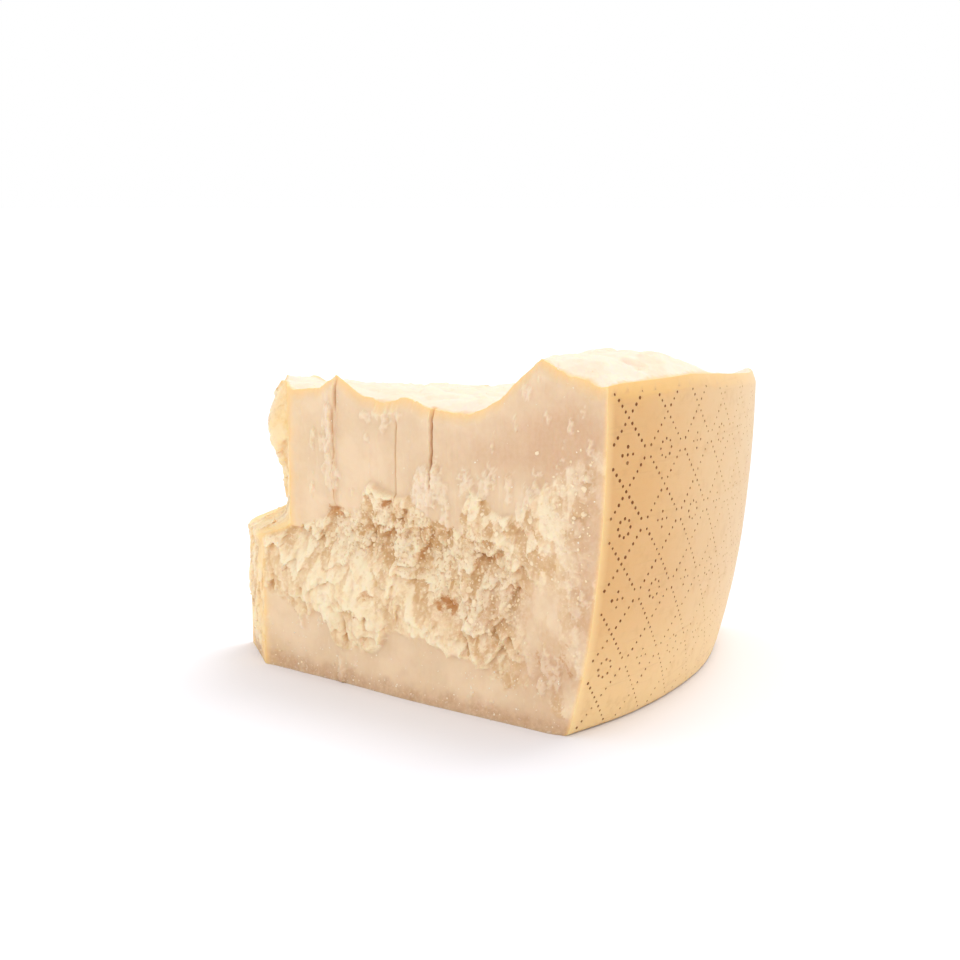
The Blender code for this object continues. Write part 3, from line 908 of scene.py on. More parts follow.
        # Painted shade and highlight: how far each place lies below or stands above its evened-out surroundings, which
        # darkens hollows and lightens proud grains.
        even = self.blurred(relief, self.blur_cells)
        shares["hollow"] = np.clip((even - relief) / self.hollow_scale, 0, 1)
        shares["proud"] = np.clip((relief - even) / self.hollow_scale, 0, 1)
        join = {
            name: np.concatenate([getattr(block, name) for block in blocks], axis=1)
            for name in ("along", "inward", "height", "out_along", "out_inward", "gap")
        }
        # A painted glow and a painted orange band along the top edge, standing in for light shining through the thin
        # rim.
        ragged = 0.3 * wave(join["along"], join["inward"], join["height"], 0.0070, 61.0)
        rim_glow = ease(1 - below_rim / surface.glow_reach + ragged, 0, 1)
        shares["glow"] = np.maximum(shares["glow"], 0.8 * rim_glow)
        shares["rim"] = ease(1 - below_rim / surface.rim_glow_reach + ragged, 0, 1)
        free = ease(join["height"], 0.004, 0.020) * ease(below_rim, 0.002, 0.012) * shares["torn"]
        drop = (self.droop + 0.8 * shares["folds"]) * np.clip(relief - even, -0.001, 0.002) * free
        along = join["along"] + join["out_along"] * relief
        inward = join["inward"] + join["out_inward"] * relief
        height = join["height"] - drop
        return np.stack((along, inward, height), axis=-1), shares, stretches

    def top_points(self, rim: np.ndarray) -> np.ndarray:
        """Plan positions for the inside of the top, on staggered rows that keep clear of its rim.

        Args:
            rim: The rim's plan positions in order.

        Returns:
            Plan positions, one a row.
        """
        step = self.spacing.top
        low, high = rim.min(axis=0), rim.max(axis=0)
        runs = np.roll(rim, -1, axis=0) - rim
        squares = (runs**2).sum(axis=1)
        found = []
        for row, inward in enumerate(np.arange(low[1], high[1], step * math.sqrt(3) / 2)):
            along = np.arange(low[0] + step / 2 * (row % 2), high[0], step)
            offset = np.stack((along, 0 * along + inward), axis=-1)[:, None, :] - rim[None]
            share = np.clip((offset * runs).sum(axis=2) / squares, 0, 1)
            gap = np.linalg.norm(offset - runs * share[..., None], axis=2).min(axis=1)
            keep = along[gap > self.spacing.top_rim_gap]
            found.append(np.stack((keep, 0 * keep + inward), axis=-1))
        return np.concatenate(found)

    def mesh(self) -> bpy.types.Mesh:
        """The whole surface as one closed mesh: a flat foot, the sides in rows, and the top.

        Returns:
            The mesh, with its shares as attributes and its faces in the paste's or the rind's slot.
        """
        grid, shares, stretches = self.side_grid()
        row_count, count = grid.shape[:2]
        rim = grid[-1][:, :2]
        inside = self.top_points(rim)
        plan = [Vector(point) for point in np.concatenate((rim, inside)).tolist()]
        outline = [list(range(count))]
        places, _, triangles, sources, _, _ = delaunay_2d_cdt(plan, [], outline, 1, self.spacing.join)
        origin = np.array([source[0] for source in sources])
        used = sorted({k for triangle in triangles for k in triangle if origin[k] >= count})
        added = {k: row_count * count + i for i, k in enumerate(used)}
        top_plan = np.array([tuple(places[k]) for k in used])
        top_height = self.surface.top(top_plan[:, 0], top_plan[:, 1])
        sides = self.model_places(grid[..., 0], grid[..., 1], grid[..., 2]).reshape(-1, 3)
        tops = self.model_places(top_plan[:, 0], top_plan[:, 1], top_height)
        last = (row_count - 1) * count

        def index(k: int) -> int:
            """Index in the mesh of a point of the top's triangulation."""
            return added[k] if k in added else last + int(origin[k])

        faces, skins = self.side_faces(row_count, stretches)
        faces.append(list(range(count - 1, -1, -1)))
        skins.append(Skin.RIND.value)
        for triangle in triangles:
            faces.append([index(k) for k in triangle])
            skins.append(Skin.PASTE.value)
        mesh = bpy.data.meshes.new(NODE)
        mesh.from_pydata(np.concatenate((sides, tops)).tolist(), [], faces)
        mesh.polygons.foreach_set("material_index", skins)
        top_shares = self.top_shares(top_plan)
        for name, values in shares.items():
            attribute = mesh.attributes.new(name, "FLOAT", "POINT")
            attribute.data.foreach_set("value", np.concatenate((values.reshape(-1), top_shares[name])))
        mesh.update()
        shape = bmesh.new()
        shape.from_mesh(mesh)
        loose = [point for point in shape.verts if not point.link_faces]
        bmesh.ops.delete(shape, geom=loose, context="VERTS")
        bmesh.ops.recalc_face_normals(shape, faces=shape.faces)
        shape.to_mesh(mesh)
        shape.free()
        mesh.shade_smooth()
        mesh.set_sharp_from_angle(angle=self.sharp_angle)
        return mesh

    def top_shares(self, plan: np.ndarray) -> dict[str, np.ndarray]:
        """The shares that the materials read, on the points inside the top."""
        flat = np.zeros(len(plan))
        relief = self.surface.top(plan[:, 0], plan[:, 1])
        push = self.spacing.top_hollow
        around = [self.surface.top(plan[:, 0] + push * a, plan[:, 1] + push * b) for a, b in ((1, 0), (-1, 0), (0, 1), (0, -1))]
        even = sum(around) / len(around)
        found = {
            "torn": flat + 0.6,
            "lid": flat + 1,
            # Painted shade in the top's hollows and a painted highlight on its proud lumps.
            "hollow": np.clip((even - relief) / self.hollow_scale, 0, 1),
            "proud": np.clip((relief - even) / self.hollow_scale, 0, 1),
            "specks": flat + 0.2,
        }
        return {name: found.get(name, flat) for name in MARKS}

    def build(self, materials: Sequence[bpy.types.Material]) -> bpy.types.Object:
        """Makes the wedge's object.

        Args:
            materials: The materials in the order of Skin.

        Returns:
            The object, linked into the scene.
        """
        mesh = self.mesh()
        for material in materials:
            mesh.materials.append(material)
        return linked(bpy.data.objects.new("wedge", mesh))


def linked(thing: bpy.types.Object) -> bpy.types.Object:
    """Puts an object into the scene's own collection."""
    bpy.context.scene.collection.objects.link(thing)
    return thing


class Value:
    """A shader socket that can be used in a Python expression."""

    def __init__(self, graph: "Graph", socket: bpy.types.NodeSocket) -> None:
        """Wraps a socket of a graph."""
        self.graph = graph
        self.socket = socket

    def math(self, operation: str, other: Any = None) -> "Value":
        """One Math node on this value and, where it takes two, another.

        Args:
            operation: The Math node's operation.
            other: A value, a number or nothing.

        Returns:
            The node's result.
        """
        inputs = {0: self} if other is None else {0: self, 1: other}
        return self.graph.node("ShaderNodeMath", {"operation": operation}, inputs)

    def __add__(self, other: Any) -> "Value":
        """Adds."""
        return self.math("ADD", other)

    def __sub__(self, other: Any) -> "Value":
        """Takes away."""
        return self.math("SUBTRACT", other)

    def __mul__(self, other: Any) -> "Value":
        """Multiplies."""
        return self.math("MULTIPLY", other)

    def __rsub__(self, other: float) -> "Value":
        """Takes this from a number."""
        return self.graph.node("ShaderNodeMath", {"operation": "SUBTRACT"}, {0: other, 1: self})

    __radd__ = __add__
    __rmul__ = __mul__

    def ease(self, low: float, high: float) -> "Value":
        """A smooth share of the way from low to high."""
        settings = {"interpolation_type": "SMOOTHSTEP"}
        return self.graph.node("ShaderNodeMapRange", settings, {"Value": self, "From Min": low, "From Max": high})

    def clamped(self) -> "Value":
        """This value kept between 0 and 1."""
        return self.graph.node("ShaderNodeClamp", {}, {"Value": self})


class Graph:
    """One material's nodes."""

    def __init__(self, name: str) -> None:
        """Starts a material with only its shader and its output."""
        self.material = bpy.data.materials.new(name)
        self.material.use_nodes = True
        self.tree = self.material.node_tree
        self.shader = self.tree.nodes["Principled BSDF"]

    def link(self, target: bpy.types.NodeSocket, source: Any) -> None:
        """Links a value to a socket, or sets a constant on it."""
        if isinstance(source, Value):
            self.tree.links.new(source.socket, target)
        else:
            target.default_value = source

    def node(self, kind: str, settings: dict[str, Any], inputs: dict[Any, Any], output: Any = 0) -> Value:
        """Adds one node.

        Args:
            kind: The node's type.
            settings: Attributes to set first.
            inputs: Values or links by the socket's name or number.
            output: The output's name or number.

        Returns:
            The output that is asked for.
        """
        made = self.tree.nodes.new(kind)
        for name, setting in settings.items():
            setattr(made, name, setting)
        for name, source in inputs.items():
            self.link(made.inputs[name], source)
        return Value(self, made.outputs[output])

    def share(self, name: str) -> Value:
        """One of the mesh's own shares."""
        return self.node("ShaderNodeAttribute", {"attribute_name": name}, {}, "Fac")

    def place(self, turn: float = 0.0, scale: Sequence[float] = (1, 1, 1)) -> Value:
        """Object coordinates, turned about the vertical and stretched.

        Args:
            turn: Turn in radians.
            scale: Scale along each axis.

        Returns:
            The coordinates.
        """
        raw = self.node("ShaderNodeTexCoord", {}, {}, "Object")
        return self.node(
            "ShaderNodeMapping", {}, {"Vector": raw, "Rotation": (0, 0, turn), "Scale": tuple(scale)}
        )

    def axis(self, place: Value, name: str) -> Value:
        """One of a place's own coordinates in metres: X, Y or Z."""
        return self.node("ShaderNodeSeparateXYZ", {}, {0: place}, name)

    def grain(self, place: Value, size: float, detail: float = 2.0, roughness: float = 0.5) -> Value:
        """Noise with swells of a size in metres, from 0 to 1 with its middle at 0.5."""
        inputs = {"Vector": place, "Scale": 1 / size, "Detail": detail, "Roughness": roughness}
        return self.node("ShaderNodeTexNoise", {}, inputs, 0)

    def mix(self, share: Any, low: Any, high: Any) -> Value:
        """A colour between two.

        Args:
            share: How far towards the second.
            low: The first colour, as a value or as red, green and blue.
            high: The second colour.

        Returns:
            The mixed colour.
        """
        ends = [(*end, 1.0) if isinstance(end, tuple) else end for end in (low, high)]
        made = self.node("ShaderNodeMix", {"data_type": "RGBA"}, {"Factor": share}, 2)
        self.link(made.socket.node.inputs[6], ends[0])
        self.link(made.socket.node.inputs[7], ends[1])
        return made

    def bump(self, height: Value, distance: float, strength: float = 1.0, under: Optional[Value] = None) -> Value:
        """A bump from a height, over another bump if one is given."""
        inputs = {"Height": height, "Distance": distance, "Strength": strength}
        if under is not None:
            inputs["Normal"] = under
        return self.node("ShaderNodeBump", {}, inputs)

    def finish(self, sockets: dict[str, Any]) -> bpy.types.Material:
        """Sets the shader's sockets and returns the material."""
        for name, source in sockets.items():
            self.link(self.shader.inputs[name], source)
        return self.material


@dataclass(frozen=True)
class Paste:
    """The pale paste: knife-cut and torn, browned towards the crust, with painted shade in its hollows, recess and
    slits, painted light on its proud grains, folds and top, and a golden painted glow where light comes through its
    thin edges.
    """

    turn: float
    cut: tuple = (0.800, 0.590, 0.375)
    cut_light: tuple = (0.875, 0.660, 0.435)
    shade: tuple = (0.685, 0.430, 0.250)
    torn: tuple = (0.890, 0.655, 0.385)
    folds: tuple = (0.985, 0.790, 0.505)
    recess: tuple = (0.790, 0.540, 0.290)
    high: tuple = (0.985, 0.830, 0.590)
    deep: tuple = (0.600, 0.330, 0.125)
    warm_shade: tuple = (0.560, 0.235, 0.060)
    crust: tuple = (0.540, 0.295, 0.150)
    glow: tuple = (1.000, 0.650, 0.245)
    chalk: tuple = (0.930, 0.780, 0.590)
    lid: tuple = (0.940, 0.785, 0.640)

    def build(self) -> bpy.types.Material:
        """Makes the material."""
        graph = Graph("paste")
        place = graph.place(self.turn)
        torn, folds, lid = graph.share("torn"), graph.share("folds"), graph.share("lid")
        soft = graph.grain(place, 0.018, 3.0)
        blotch = graph.grain(place, 0.0050, 4.0, 0.6)
        fine = graph.grain(place, 0.0016, 3.0, 0.6)
        streak = graph.grain(graph.place(self.turn, (1, 1, 0.06)), 0.0011, 2.0, 0.6)
        colour = graph.mix(soft.ease(0.35, 0.65), self.cut, self.cut_light)
        colour = graph.mix(streak.ease(0.62, 0.78) * (1 - torn) * 0.30, colour, self.chalk)
        colour = graph.mix(torn * 0.7, colour, self.torn)
        # Painted shade: a darker tan in the torn band's recess.
        colour = graph.mix(graph.share("recess") * 0.75, colour, self.recess)
        # Painted light: the bulging folds paler, as where light falls on them.
        colour = graph.mix(folds * 0.85, colour, self.folds)
        colour = graph.mix(graph.share("blush") * 0.85, colour, self.shade)
        tone = graph.share("tone") + 0.7 * (graph.grain(place, 0.0035, 3.0, 0.6) - 0.5)
        colour = graph.mix(tone.ease(0.45, 0.85) * torn * 0.7, colour, self.high)
        colour = graph.mix((1 - tone).ease(0.50, 0.95) * torn * (0.75 - 0.35 * folds), colour, self.deep)
        # Painted highlight on grains that stand proud.
        colour = graph.mix((graph.share("proud") * (0.2 + torn)).clamped() * 0.6, colour, self.high)
        speck = blotch.ease(0.56, 0.66) * (torn - folds * 0.7).clamped()
        colour = graph.mix(speck * 0.35, colour, self.deep)
        grit = graph.grain(place, 0.0014, 2.0, 0.5)
        colour = graph.mix(grit.ease(0.56, 0.66) * (0.15 * torn + 0.5 * graph.share("recess")), colour, self.deep)
        colour = graph.mix((1 - grit).ease(0.56, 0.66) * torn * 0.45, colour, self.high)
        pale = (1 - blotch).ease(0.56, 0.68) * torn
        colour = graph.mix(pale * 0.45, colour, self.high)
        # Painted shade in hollows, warm orange in the deeper ones.
        hollow = (graph.share("hollow") * (0.35 + torn * 0.5)).clamped()
        colour = graph.mix(hollow * 0.6, colour, self.deep)
        hollow_warm_shade = hollow.ease(0.30, 0.8) * graph.grain(place, 0.0090, 2.0, 0.5).ease(0.48, 0.60)
        colour = graph.mix(hollow_warm_shade * 0.65, colour, self.warm_shade)
        # Painted warm shade inside the knife slits.
        colour = graph.mix(graph.share("slit") * 0.70, colour, self.warm_shade)
        colour = graph.mix((graph.share("chalk") * fine.ease(0.25, 0.55)).clamped() * 0.75, colour, self.chalk)
        crust = graph.share("crust") * (0.64 + 0.9 * (blotch - 0.5) + 1.6 * (fine - 0.5)).clamped()
        colour = graph.mix(crust, colour, self.crust)
        colour = graph.mix(graph.share("crust") * fine.ease(0.58, 0.70) * 0.5, colour, self.chalk)
        # Painted warm shade in the listed hollows and under the recess's lip.
        warm_shade = graph.share("warm_shade") * 0.8 + 2.6 * (graph.grain(place, 0.0030, 4.0, 0.7) - 0.5)
        colour = graph.mix(warm_shade.ease(0.30, 0.90) * graph.share("warm_shade").ease(0.02, 0.3) * 0.9, colour, self.warm_shade)
        # The top's own colour, set paler than the paste as painted light from above.
        colour = graph.mix(lid * (0.88 - 0.25 * soft.ease(0.48, 0.66)), colour, self.lid)
        # A painted glow where light shines through thin edges.
        colour = graph.mix(graph.share("glow") * (1 - lid) * 0.8, colour, self.glow)
        colour = graph.mix(fine.ease(0.3, 0.75) * 0.12, colour, self.chalk)
        grains = graph.grain(place, 0.0007, 3.0, 0.6)
        pits = graph.grain(place, 0.0022, 4.0, 0.65)
        rough = (0.3 + torn * (1 - 0.8 * folds) + graph.share("recess")) * pits
        relief = graph.bump(streak * (1 - torn) + rough, 0.00036, 0.8)
        relief = graph.bump(grains, 0.00008, 0.6, relief)
        return graph.finish(
            {
                "Base Color": colour,
                "Roughness": 0.48 + 0.22 * torn + 0.1 * fine,
                "Subsurface Weight": 0.45,
                "Subsurface Radius": (1.0, 0.60, 0.28),
                "Subsurface Scale": 0.0032,
                "Specular IOR Level": 0.35,
                "Normal": relief,
            }
        )


@dataclass(frozen=True)
class RindFinish:
    """The rind: smooth, waxy and golden, with faint lines from the mould and a darker foot that is partly painted
    contact shadow; paler towards the right as painted light, and a painted glow along its top edge and thin corner.
    """

    turn: float
    gold: tuple = (0.725, 0.415, 0.155)
    pale: tuple = (0.785, 0.540, 0.275)
    line: tuple = (0.560, 0.300, 0.110)
    low: tuple = (0.890, 0.625, 0.305)
    rim: tuple = (0.840, 0.490, 0.145)
    foot: tuple = (0.460, 0.250, 0.090)
    glow: tuple = (1.000, 0.760, 0.360)

    def build(self) -> bpy.types.Material:
        """Makes the material."""
        graph = Graph("rind")
        place = graph.place(self.turn)
        across, height = graph.axis(graph.place(), "X"), graph.axis(place, "Z")
        soft = graph.grain(place, 0.030, 3.0)
        mottle = graph.grain(place, 0.005, 4.0, 0.6)
        fine = graph.grain(place, 0.0012, 3.0, 0.6)
        level = graph.grain(graph.place(self.turn, (0.06, 0.06, 1)), 0.0018, 2.0, 0.6)
        # Painted light: paler towards the right, where the rind turns towards the lamp.
        colour = graph.mix((across.ease(0.030, 0.095) + soft * 0.5 - 0.25).clamped(), self.gold, self.pale)
        colour = graph.mix(1 - height.ease(-0.010, 0.056), colour, self.low)
        colour = graph.mix(mottle.ease(0.50, 0.72) * 0.22, colour, self.line)
        colour = graph.mix(level.ease(0.60, 0.75) * 0.20, colour, self.line)
        # Darker foot line: the browned edge with a painted contact shadow.
        colour = graph.mix((1 - (height + 0.003 * mottle).ease(0.0008, 0.0032)) * 0.8, colour, self.foot)
        # Painted glow: orange along the top edge and golden at the thin corner, standing in for light shining through.
        rim = graph.share("rim")
        colour = graph.mix(rim * (0.75 - across.ease(0.030, 0.100) * 0.5), colour, self.rim)
        colour = graph.mix(graph.share("glow") * (0.7 - 0.45 * rim), colour, self.glow)
        relief = graph.bump(level + mottle, 0.0003, 0.5)
        relief = graph.bump(fine, 0.0001, 0.5, relief)
        return graph.finish(
            {
                "Base Color": colour,
                "Roughness": 0.42 + 0.15 * mottle,
                "Coat Weight": 0.12,
                "Coat Roughness": 0.35,
                "Subsurface Weight": 0.30,
                "Subsurface Radius": (1.0, 0.55, 0.22),
                "Subsurface Scale": 0.004,
                "Specular IOR Level": 0.4,
                "Normal": relief,
            }
        )


@dataclass(frozen=True)
class PrickFinish:
    """The inside of a pin prick: dark brown, partly the rind's browning and partly painted shade in the hole, with that
    painted shade made paler towards the right and towards the foot.
    """

    dark: tuple = (0.320, 0.125, 0.034)
    light: tuple = (0.620, 0.370, 0.150)

    def build(self) -> bpy.types.Material:
        """Makes the material."""
        graph = Graph("prick")
        place = graph.place()
        blotch = graph.grain(place, 0.006, 2.0)
        across = graph.axis(place, "X")
        low = 1 - graph.axis(place, "Z").ease(0.0, 0.055)
        # Painted shade in the hole, lighter towards the right and the foot, with random blotches.
        share = (across.ease(0.040, 0.100) + low * 0.45 + blotch.ease(0.4, 0.7) * 0.5 - 0.15).clamped()
        return graph.finish({"Base Color": graph.mix(share, self.dark, self.light), "Roughness": 0.7 + 0.1 * blotch})


@dataclass(frozen=True)
class CrumbFinish:
    """Crumbs, flakes and crystals: two tones of one colour."""

    name: str
    one: tuple
    other: tuple
    roughness: float = 0.55

    def build(self) -> bpy.types.Material:
        """Makes the material."""
        graph = Graph(self.name)
        blotch = graph.grain(graph.place(), 0.004, 2.0)
        return graph.finish(
            {
                "Base Color": graph.mix(blotch.ease(0.4, 0.6), self.one, self.other),
                "Roughness": self.roughness + 0.2 * blotch,
                "Specular IOR Level": 0.3,
            }
        )


class Tree:
    """A Geometry Nodes tree with named inputs, built in code."""

    def __init__(self, name: str) -> None:
        """Starts a tree with a geometry input and output."""
        self.group = bpy.data.node_groups.new(name, "GeometryNodeTree")
        self.group.interface.new_socket("Geometry", in_out="INPUT", socket_type="NodeSocketGeometry")
        self.group.interface.new_socket("Geometry", in_out="OUTPUT", socket_type="NodeSocketGeometry")
        self.start = self.group.nodes.new("NodeGroupInput")
        self.end = self.group.nodes.new("NodeGroupOutput")
        self.inputs: dict[str, str] = {}

    def size(self, name: str, value: Any, kind: str = "NodeSocketFloat") -> bpy.types.NodeSocket:
        """Adds a named input.

        Args:
            name: The input's name.
            value: Its value until it is set.
            kind: Its socket type.

        Returns:
            The socket on the tree's input node.
        """
        socket = self.group.interface.new_socket(name, in_out="INPUT", socket_type=kind)
        if value is not None:
            socket.default_value = value
        self.inputs[name] = socket.identifier
        return self.start.outputs[name]

    def node(self, kind: str, settings: dict[str, Any], inputs: dict[Any, Any]) -> bpy.types.Node:
        """Adds one node.

        Args:
            kind: The node's type.
            settings: Attributes to set first.
            inputs: Sockets or constants by the input's name or number.

        Returns:
            The node.
        """
        made = self.group.nodes.new(kind)
        for name, setting in settings.items():
            setattr(made, name, setting)
        for name, source in inputs.items():
            if isinstance(source, bpy.types.NodeSocket):
                self.group.links.new(source, made.inputs[name])
            else:
                made.inputs[name].default_value = source
        return made

    def close(self, geometry: bpy.types.NodeSocket, material: bpy.types.NodeSocket) -> None:
        """Ends the tree in Realize Instances and Set Material."""
        real = self.node("GeometryNodeRealizeInstances", {}, {"Geometry": geometry})
        dressed = self.node("GeometryNodeSetMaterial", {}, {"Geometry": real.outputs[0], "Material": material})
        self.group.links.new(dressed.outputs[0], self.end.inputs[0])

    def run(self, source: bpy.types.Mesh, name: str, values: dict[str, Any]) -> bpy.types.Object:
        """Runs the tree on a mesh and keeps the result as a plain object.

        Args:
            source: The mesh that the tree starts from.
            name: The new object's name.
            values: Inputs by name.

        Returns:
            The object with the tree's result as its own mesh, linked into the scene.
        """
        carrier = linked(bpy.data.objects.new(name + "_source", source))
        modifier = carrier.modifiers.new("tree", "NODES")
        modifier.node_group = self.group
        for key, value in values.items():
            modifier[self.inputs[key]] = value
        graph = bpy.context.evaluated_depsgraph_get()
        mesh = bpy.data.meshes.new_from_object(carrier.evaluated_get(graph))
        mesh.name = name
        bpy.data.objects.remove(carrier)
        return linked(bpy.data.objects.new(name, mesh))


@dataclass
class PinPricks:
    """The pattern of pin pricks in the rind: a trellis of lozenges with a small star in each."""

    wedge: CheeseWedge
    pitch_turn: float = 5.6
    pitch_height: float = 0.0245
    first_height: float = 0.0105
    dot_gap: float = 0.0027
    ring_radius: float = 0.0032
    ring_count: int = 8
    radius: float = 0.00088
    depth: float = 0.0012
    lift: float = 0.0003
    sides: int = 8
    clear: float = 0.0018
    fading: tuple = ((0.0, 0.03, 0.10), (1.08, 0.90, 0.70))
    fading_low: tuple = ((0.0, 0.06), (0.80, 1.0))

    def motif(self, ring: bool) -> list[tuple[float, float]]:
        """Places of a lozenge's own pricks about its middle: a ring, or a small cross."""
        if ring:
            turns = [2 * math.pi * k / self.ring_count for k in range(self.ring_count)]
            return [(self.ring_radius * math.cos(turn), self.ring_radius * math.sin(turn)) for turn in turns]
        return [(a * self.dot_gap, b * self.dot_gap) for a, b in ((0, 0), (1, 0), (-1, 0), (0, 1), (0, -1))]

    def spots(self) -> list[tuple[float, float]]:
        """Spots of the whole pattern, as arc length round the wheel and height, in metres."""
        wide = math.radians(self.pitch_turn) * self.wedge.surface.plan.wheel.radius
        tall = self.pitch_height
        steps = round(math.hypot(wide / 2, tall / 2) / self.dot_gap)
        found = []
        for column in range(-1, 9):
            for row in range(-1, 6):
                x, z = (column + 0.5) * wide, self.first_height + (row + 0.5) * tall
                for k in range(steps):
                    across, up = wide / 2 * k / steps, tall / 2 * (1 - k / steps)
                    found += [(x + a * across, z + b * up) for a in (-1, 1) for b in (-1, 1)]
                found += [(x + a, z + b) for a, b in self.motif((row + column) % 2 == 0)]
        kept: list[tuple[float, float]] = []
        for spot in found:
            if all(math.dist(spot, other) > 0.55 * self.dot_gap for other in kept):
                kept.append(spot)
        return kept

    def source(self) -> bpy.types.Mesh:
        """A mesh with one point for each prick, and the rind's outward direction there."""
        wedge = self.wedge
        plan, wheel = wedge.surface.plan, wedge.surface.plan.wheel
        origin = wedge.model_places(*np.zeros((3, 1, 1)))
        points, outs, sizes = [], [], []
        for arc, height in self.spots():
            level = np.array([[height]])
            front, _, _, far = plan.corners(level)
            near_turn, far_turn = (
                float(np.arctan2(place[1] - wheel.axis_inward, place[0] - wheel.axis_along)[0, 0] % (2 * math.pi))
                for place in (front, far)
            )
            turn, edge = near_turn - arc / wheel.radius, self.clear / wheel.radius
            if not far_turn + edge < turn < near_turn - edge:
                continue
            share = np.array([[(turn - far_turn) / (near_turn - far_turn)]])
            side = plan.outline(Stretch.RIND, share, level)
            rim = float(wedge.surface.top(side.along, side.inward)[0, 0])
            if not self.clear < height < rim - self.clear:
                continue
            reach = wedge.surface.side(Stretch.RIND, side)[0] + self.lift
            along, inward = side.along + side.out_along * reach, side.inward + side.out_inward * reach
            points.append(wedge.model_places(along, inward, level)[0, 0])
            sizes.append(float(np.interp(arc, *self.fading) * np.interp(height, *self.fading_low)))
            outs.append((wedge.model_places(side.out_along, side.out_inward, 0 * level) - origin)[0, 0])
        mesh = bpy.data.meshes.new("prick_points")
        mesh.from_pydata([tuple(p) for p in points], [], [])
        mesh.attributes.new("outward", "FLOAT_VECTOR", "POINT").data.foreach_set("vector", np.array(outs).reshape(-1))
        mesh.attributes.new("size", "FLOAT", "POINT").data.foreach_set("value", sizes)
        return mesh

    def cutter(self, material: bpy.types.Material) -> bpy.types.Object:
        """One closed pin for each prick, uneven in size, as one mesh.

        Args:
            material: The finish of the pricks' walls.

        Returns:
            The cutter object.
        """
        tree = Tree("pricks")
        radius = tree.size("Radius", self.radius)
        depth = tree.size("Depth", self.depth)
        smallest = tree.size("Smallest", 0.82)
        largest = tree.size("Largest", 1.05)
        skin = tree.size("Material", None, "NodeSocketMaterial")
        cone = {"Vertices": self.sides, "Radius Top": 0.0, "Radius Bottom": radius, "Depth": depth}
        pin = tree.node("GeometryNodeMeshCone", {}, cone)
        outward = tree.node("GeometryNodeInputNamedAttribute", {"data_type": "FLOAT_VECTOR"}, {"Name": "outward"})
        inward = tree.node("ShaderNodeVectorMath", {"operation": "SCALE"}, {0: outward.outputs[0], "Scale": -1.0})
        turn = tree.node("FunctionNodeAlignRotationToVector", {"axis": "Z"}, {"Vector": inward.outputs[0]})
        scale = tree.node("FunctionNodeRandomValue", {"data_type": "FLOAT"}, {2: smallest, 3: largest, "Seed": 4})
        size = tree.node("GeometryNodeInputNamedAttribute", {"data_type": "FLOAT"}, {"Name": "size"})
        scale = tree.node("ShaderNodeMath", {"operation": "MULTIPLY"}, {0: scale.outputs[1], 1: size.outputs[0]})
        points = tree.node("GeometryNodeMeshToPoints", {}, {"Mesh": tree.start.outputs[0]})
        laid = {"Points": points.outputs[0], "Instance": pin.outputs[0], "Rotation": turn.outputs[0]}
        placed = tree.node("GeometryNodeInstanceOnPoints", {}, laid | {"Scale": scale.outputs[0]})
        tree.close(placed.outputs[0], skin)
        return tree.run(self.source(), "pins", {"Radius": self.radius, "Depth": self.depth, "Material": material})

    def press_into(self, target: bpy.types.Object, material: bpy.types.Material) -> int:
        """Cuts the pricks into the wedge.

        Args:
            target: The wedge's object, whose mesh is replaced by the pricked one.
            material: The finish of the pricks' walls, which is one of the wedge's own.

        Returns:
            How many faces the wedge then has.
        """
        pins = self.cutter(material)
        slots = [target.data.materials[skin.value] for skin in Skin]
        pins.data.materials.clear()
        for slot in slots:
            pins.data.materials.append(slot)
        pins.data.polygons.foreach_set("material_index", [Skin.PRICK.value] * len(pins.data.polygons))
        cut = target.modifiers.new("pricks", "BOOLEAN")
        cut.operation = "DIFFERENCE"
        cut.solver = "MANIFOLD"
        cut.object = pins
        graph = bpy.context.evaluated_depsgraph_get()
        mesh = bpy.data.meshes.new_from_object(target.evaluated_get(graph))
        target.modifiers.clear()
        target.data = mesh
        bpy.data.objects.remove(pins)
        return len(mesh.polygons)


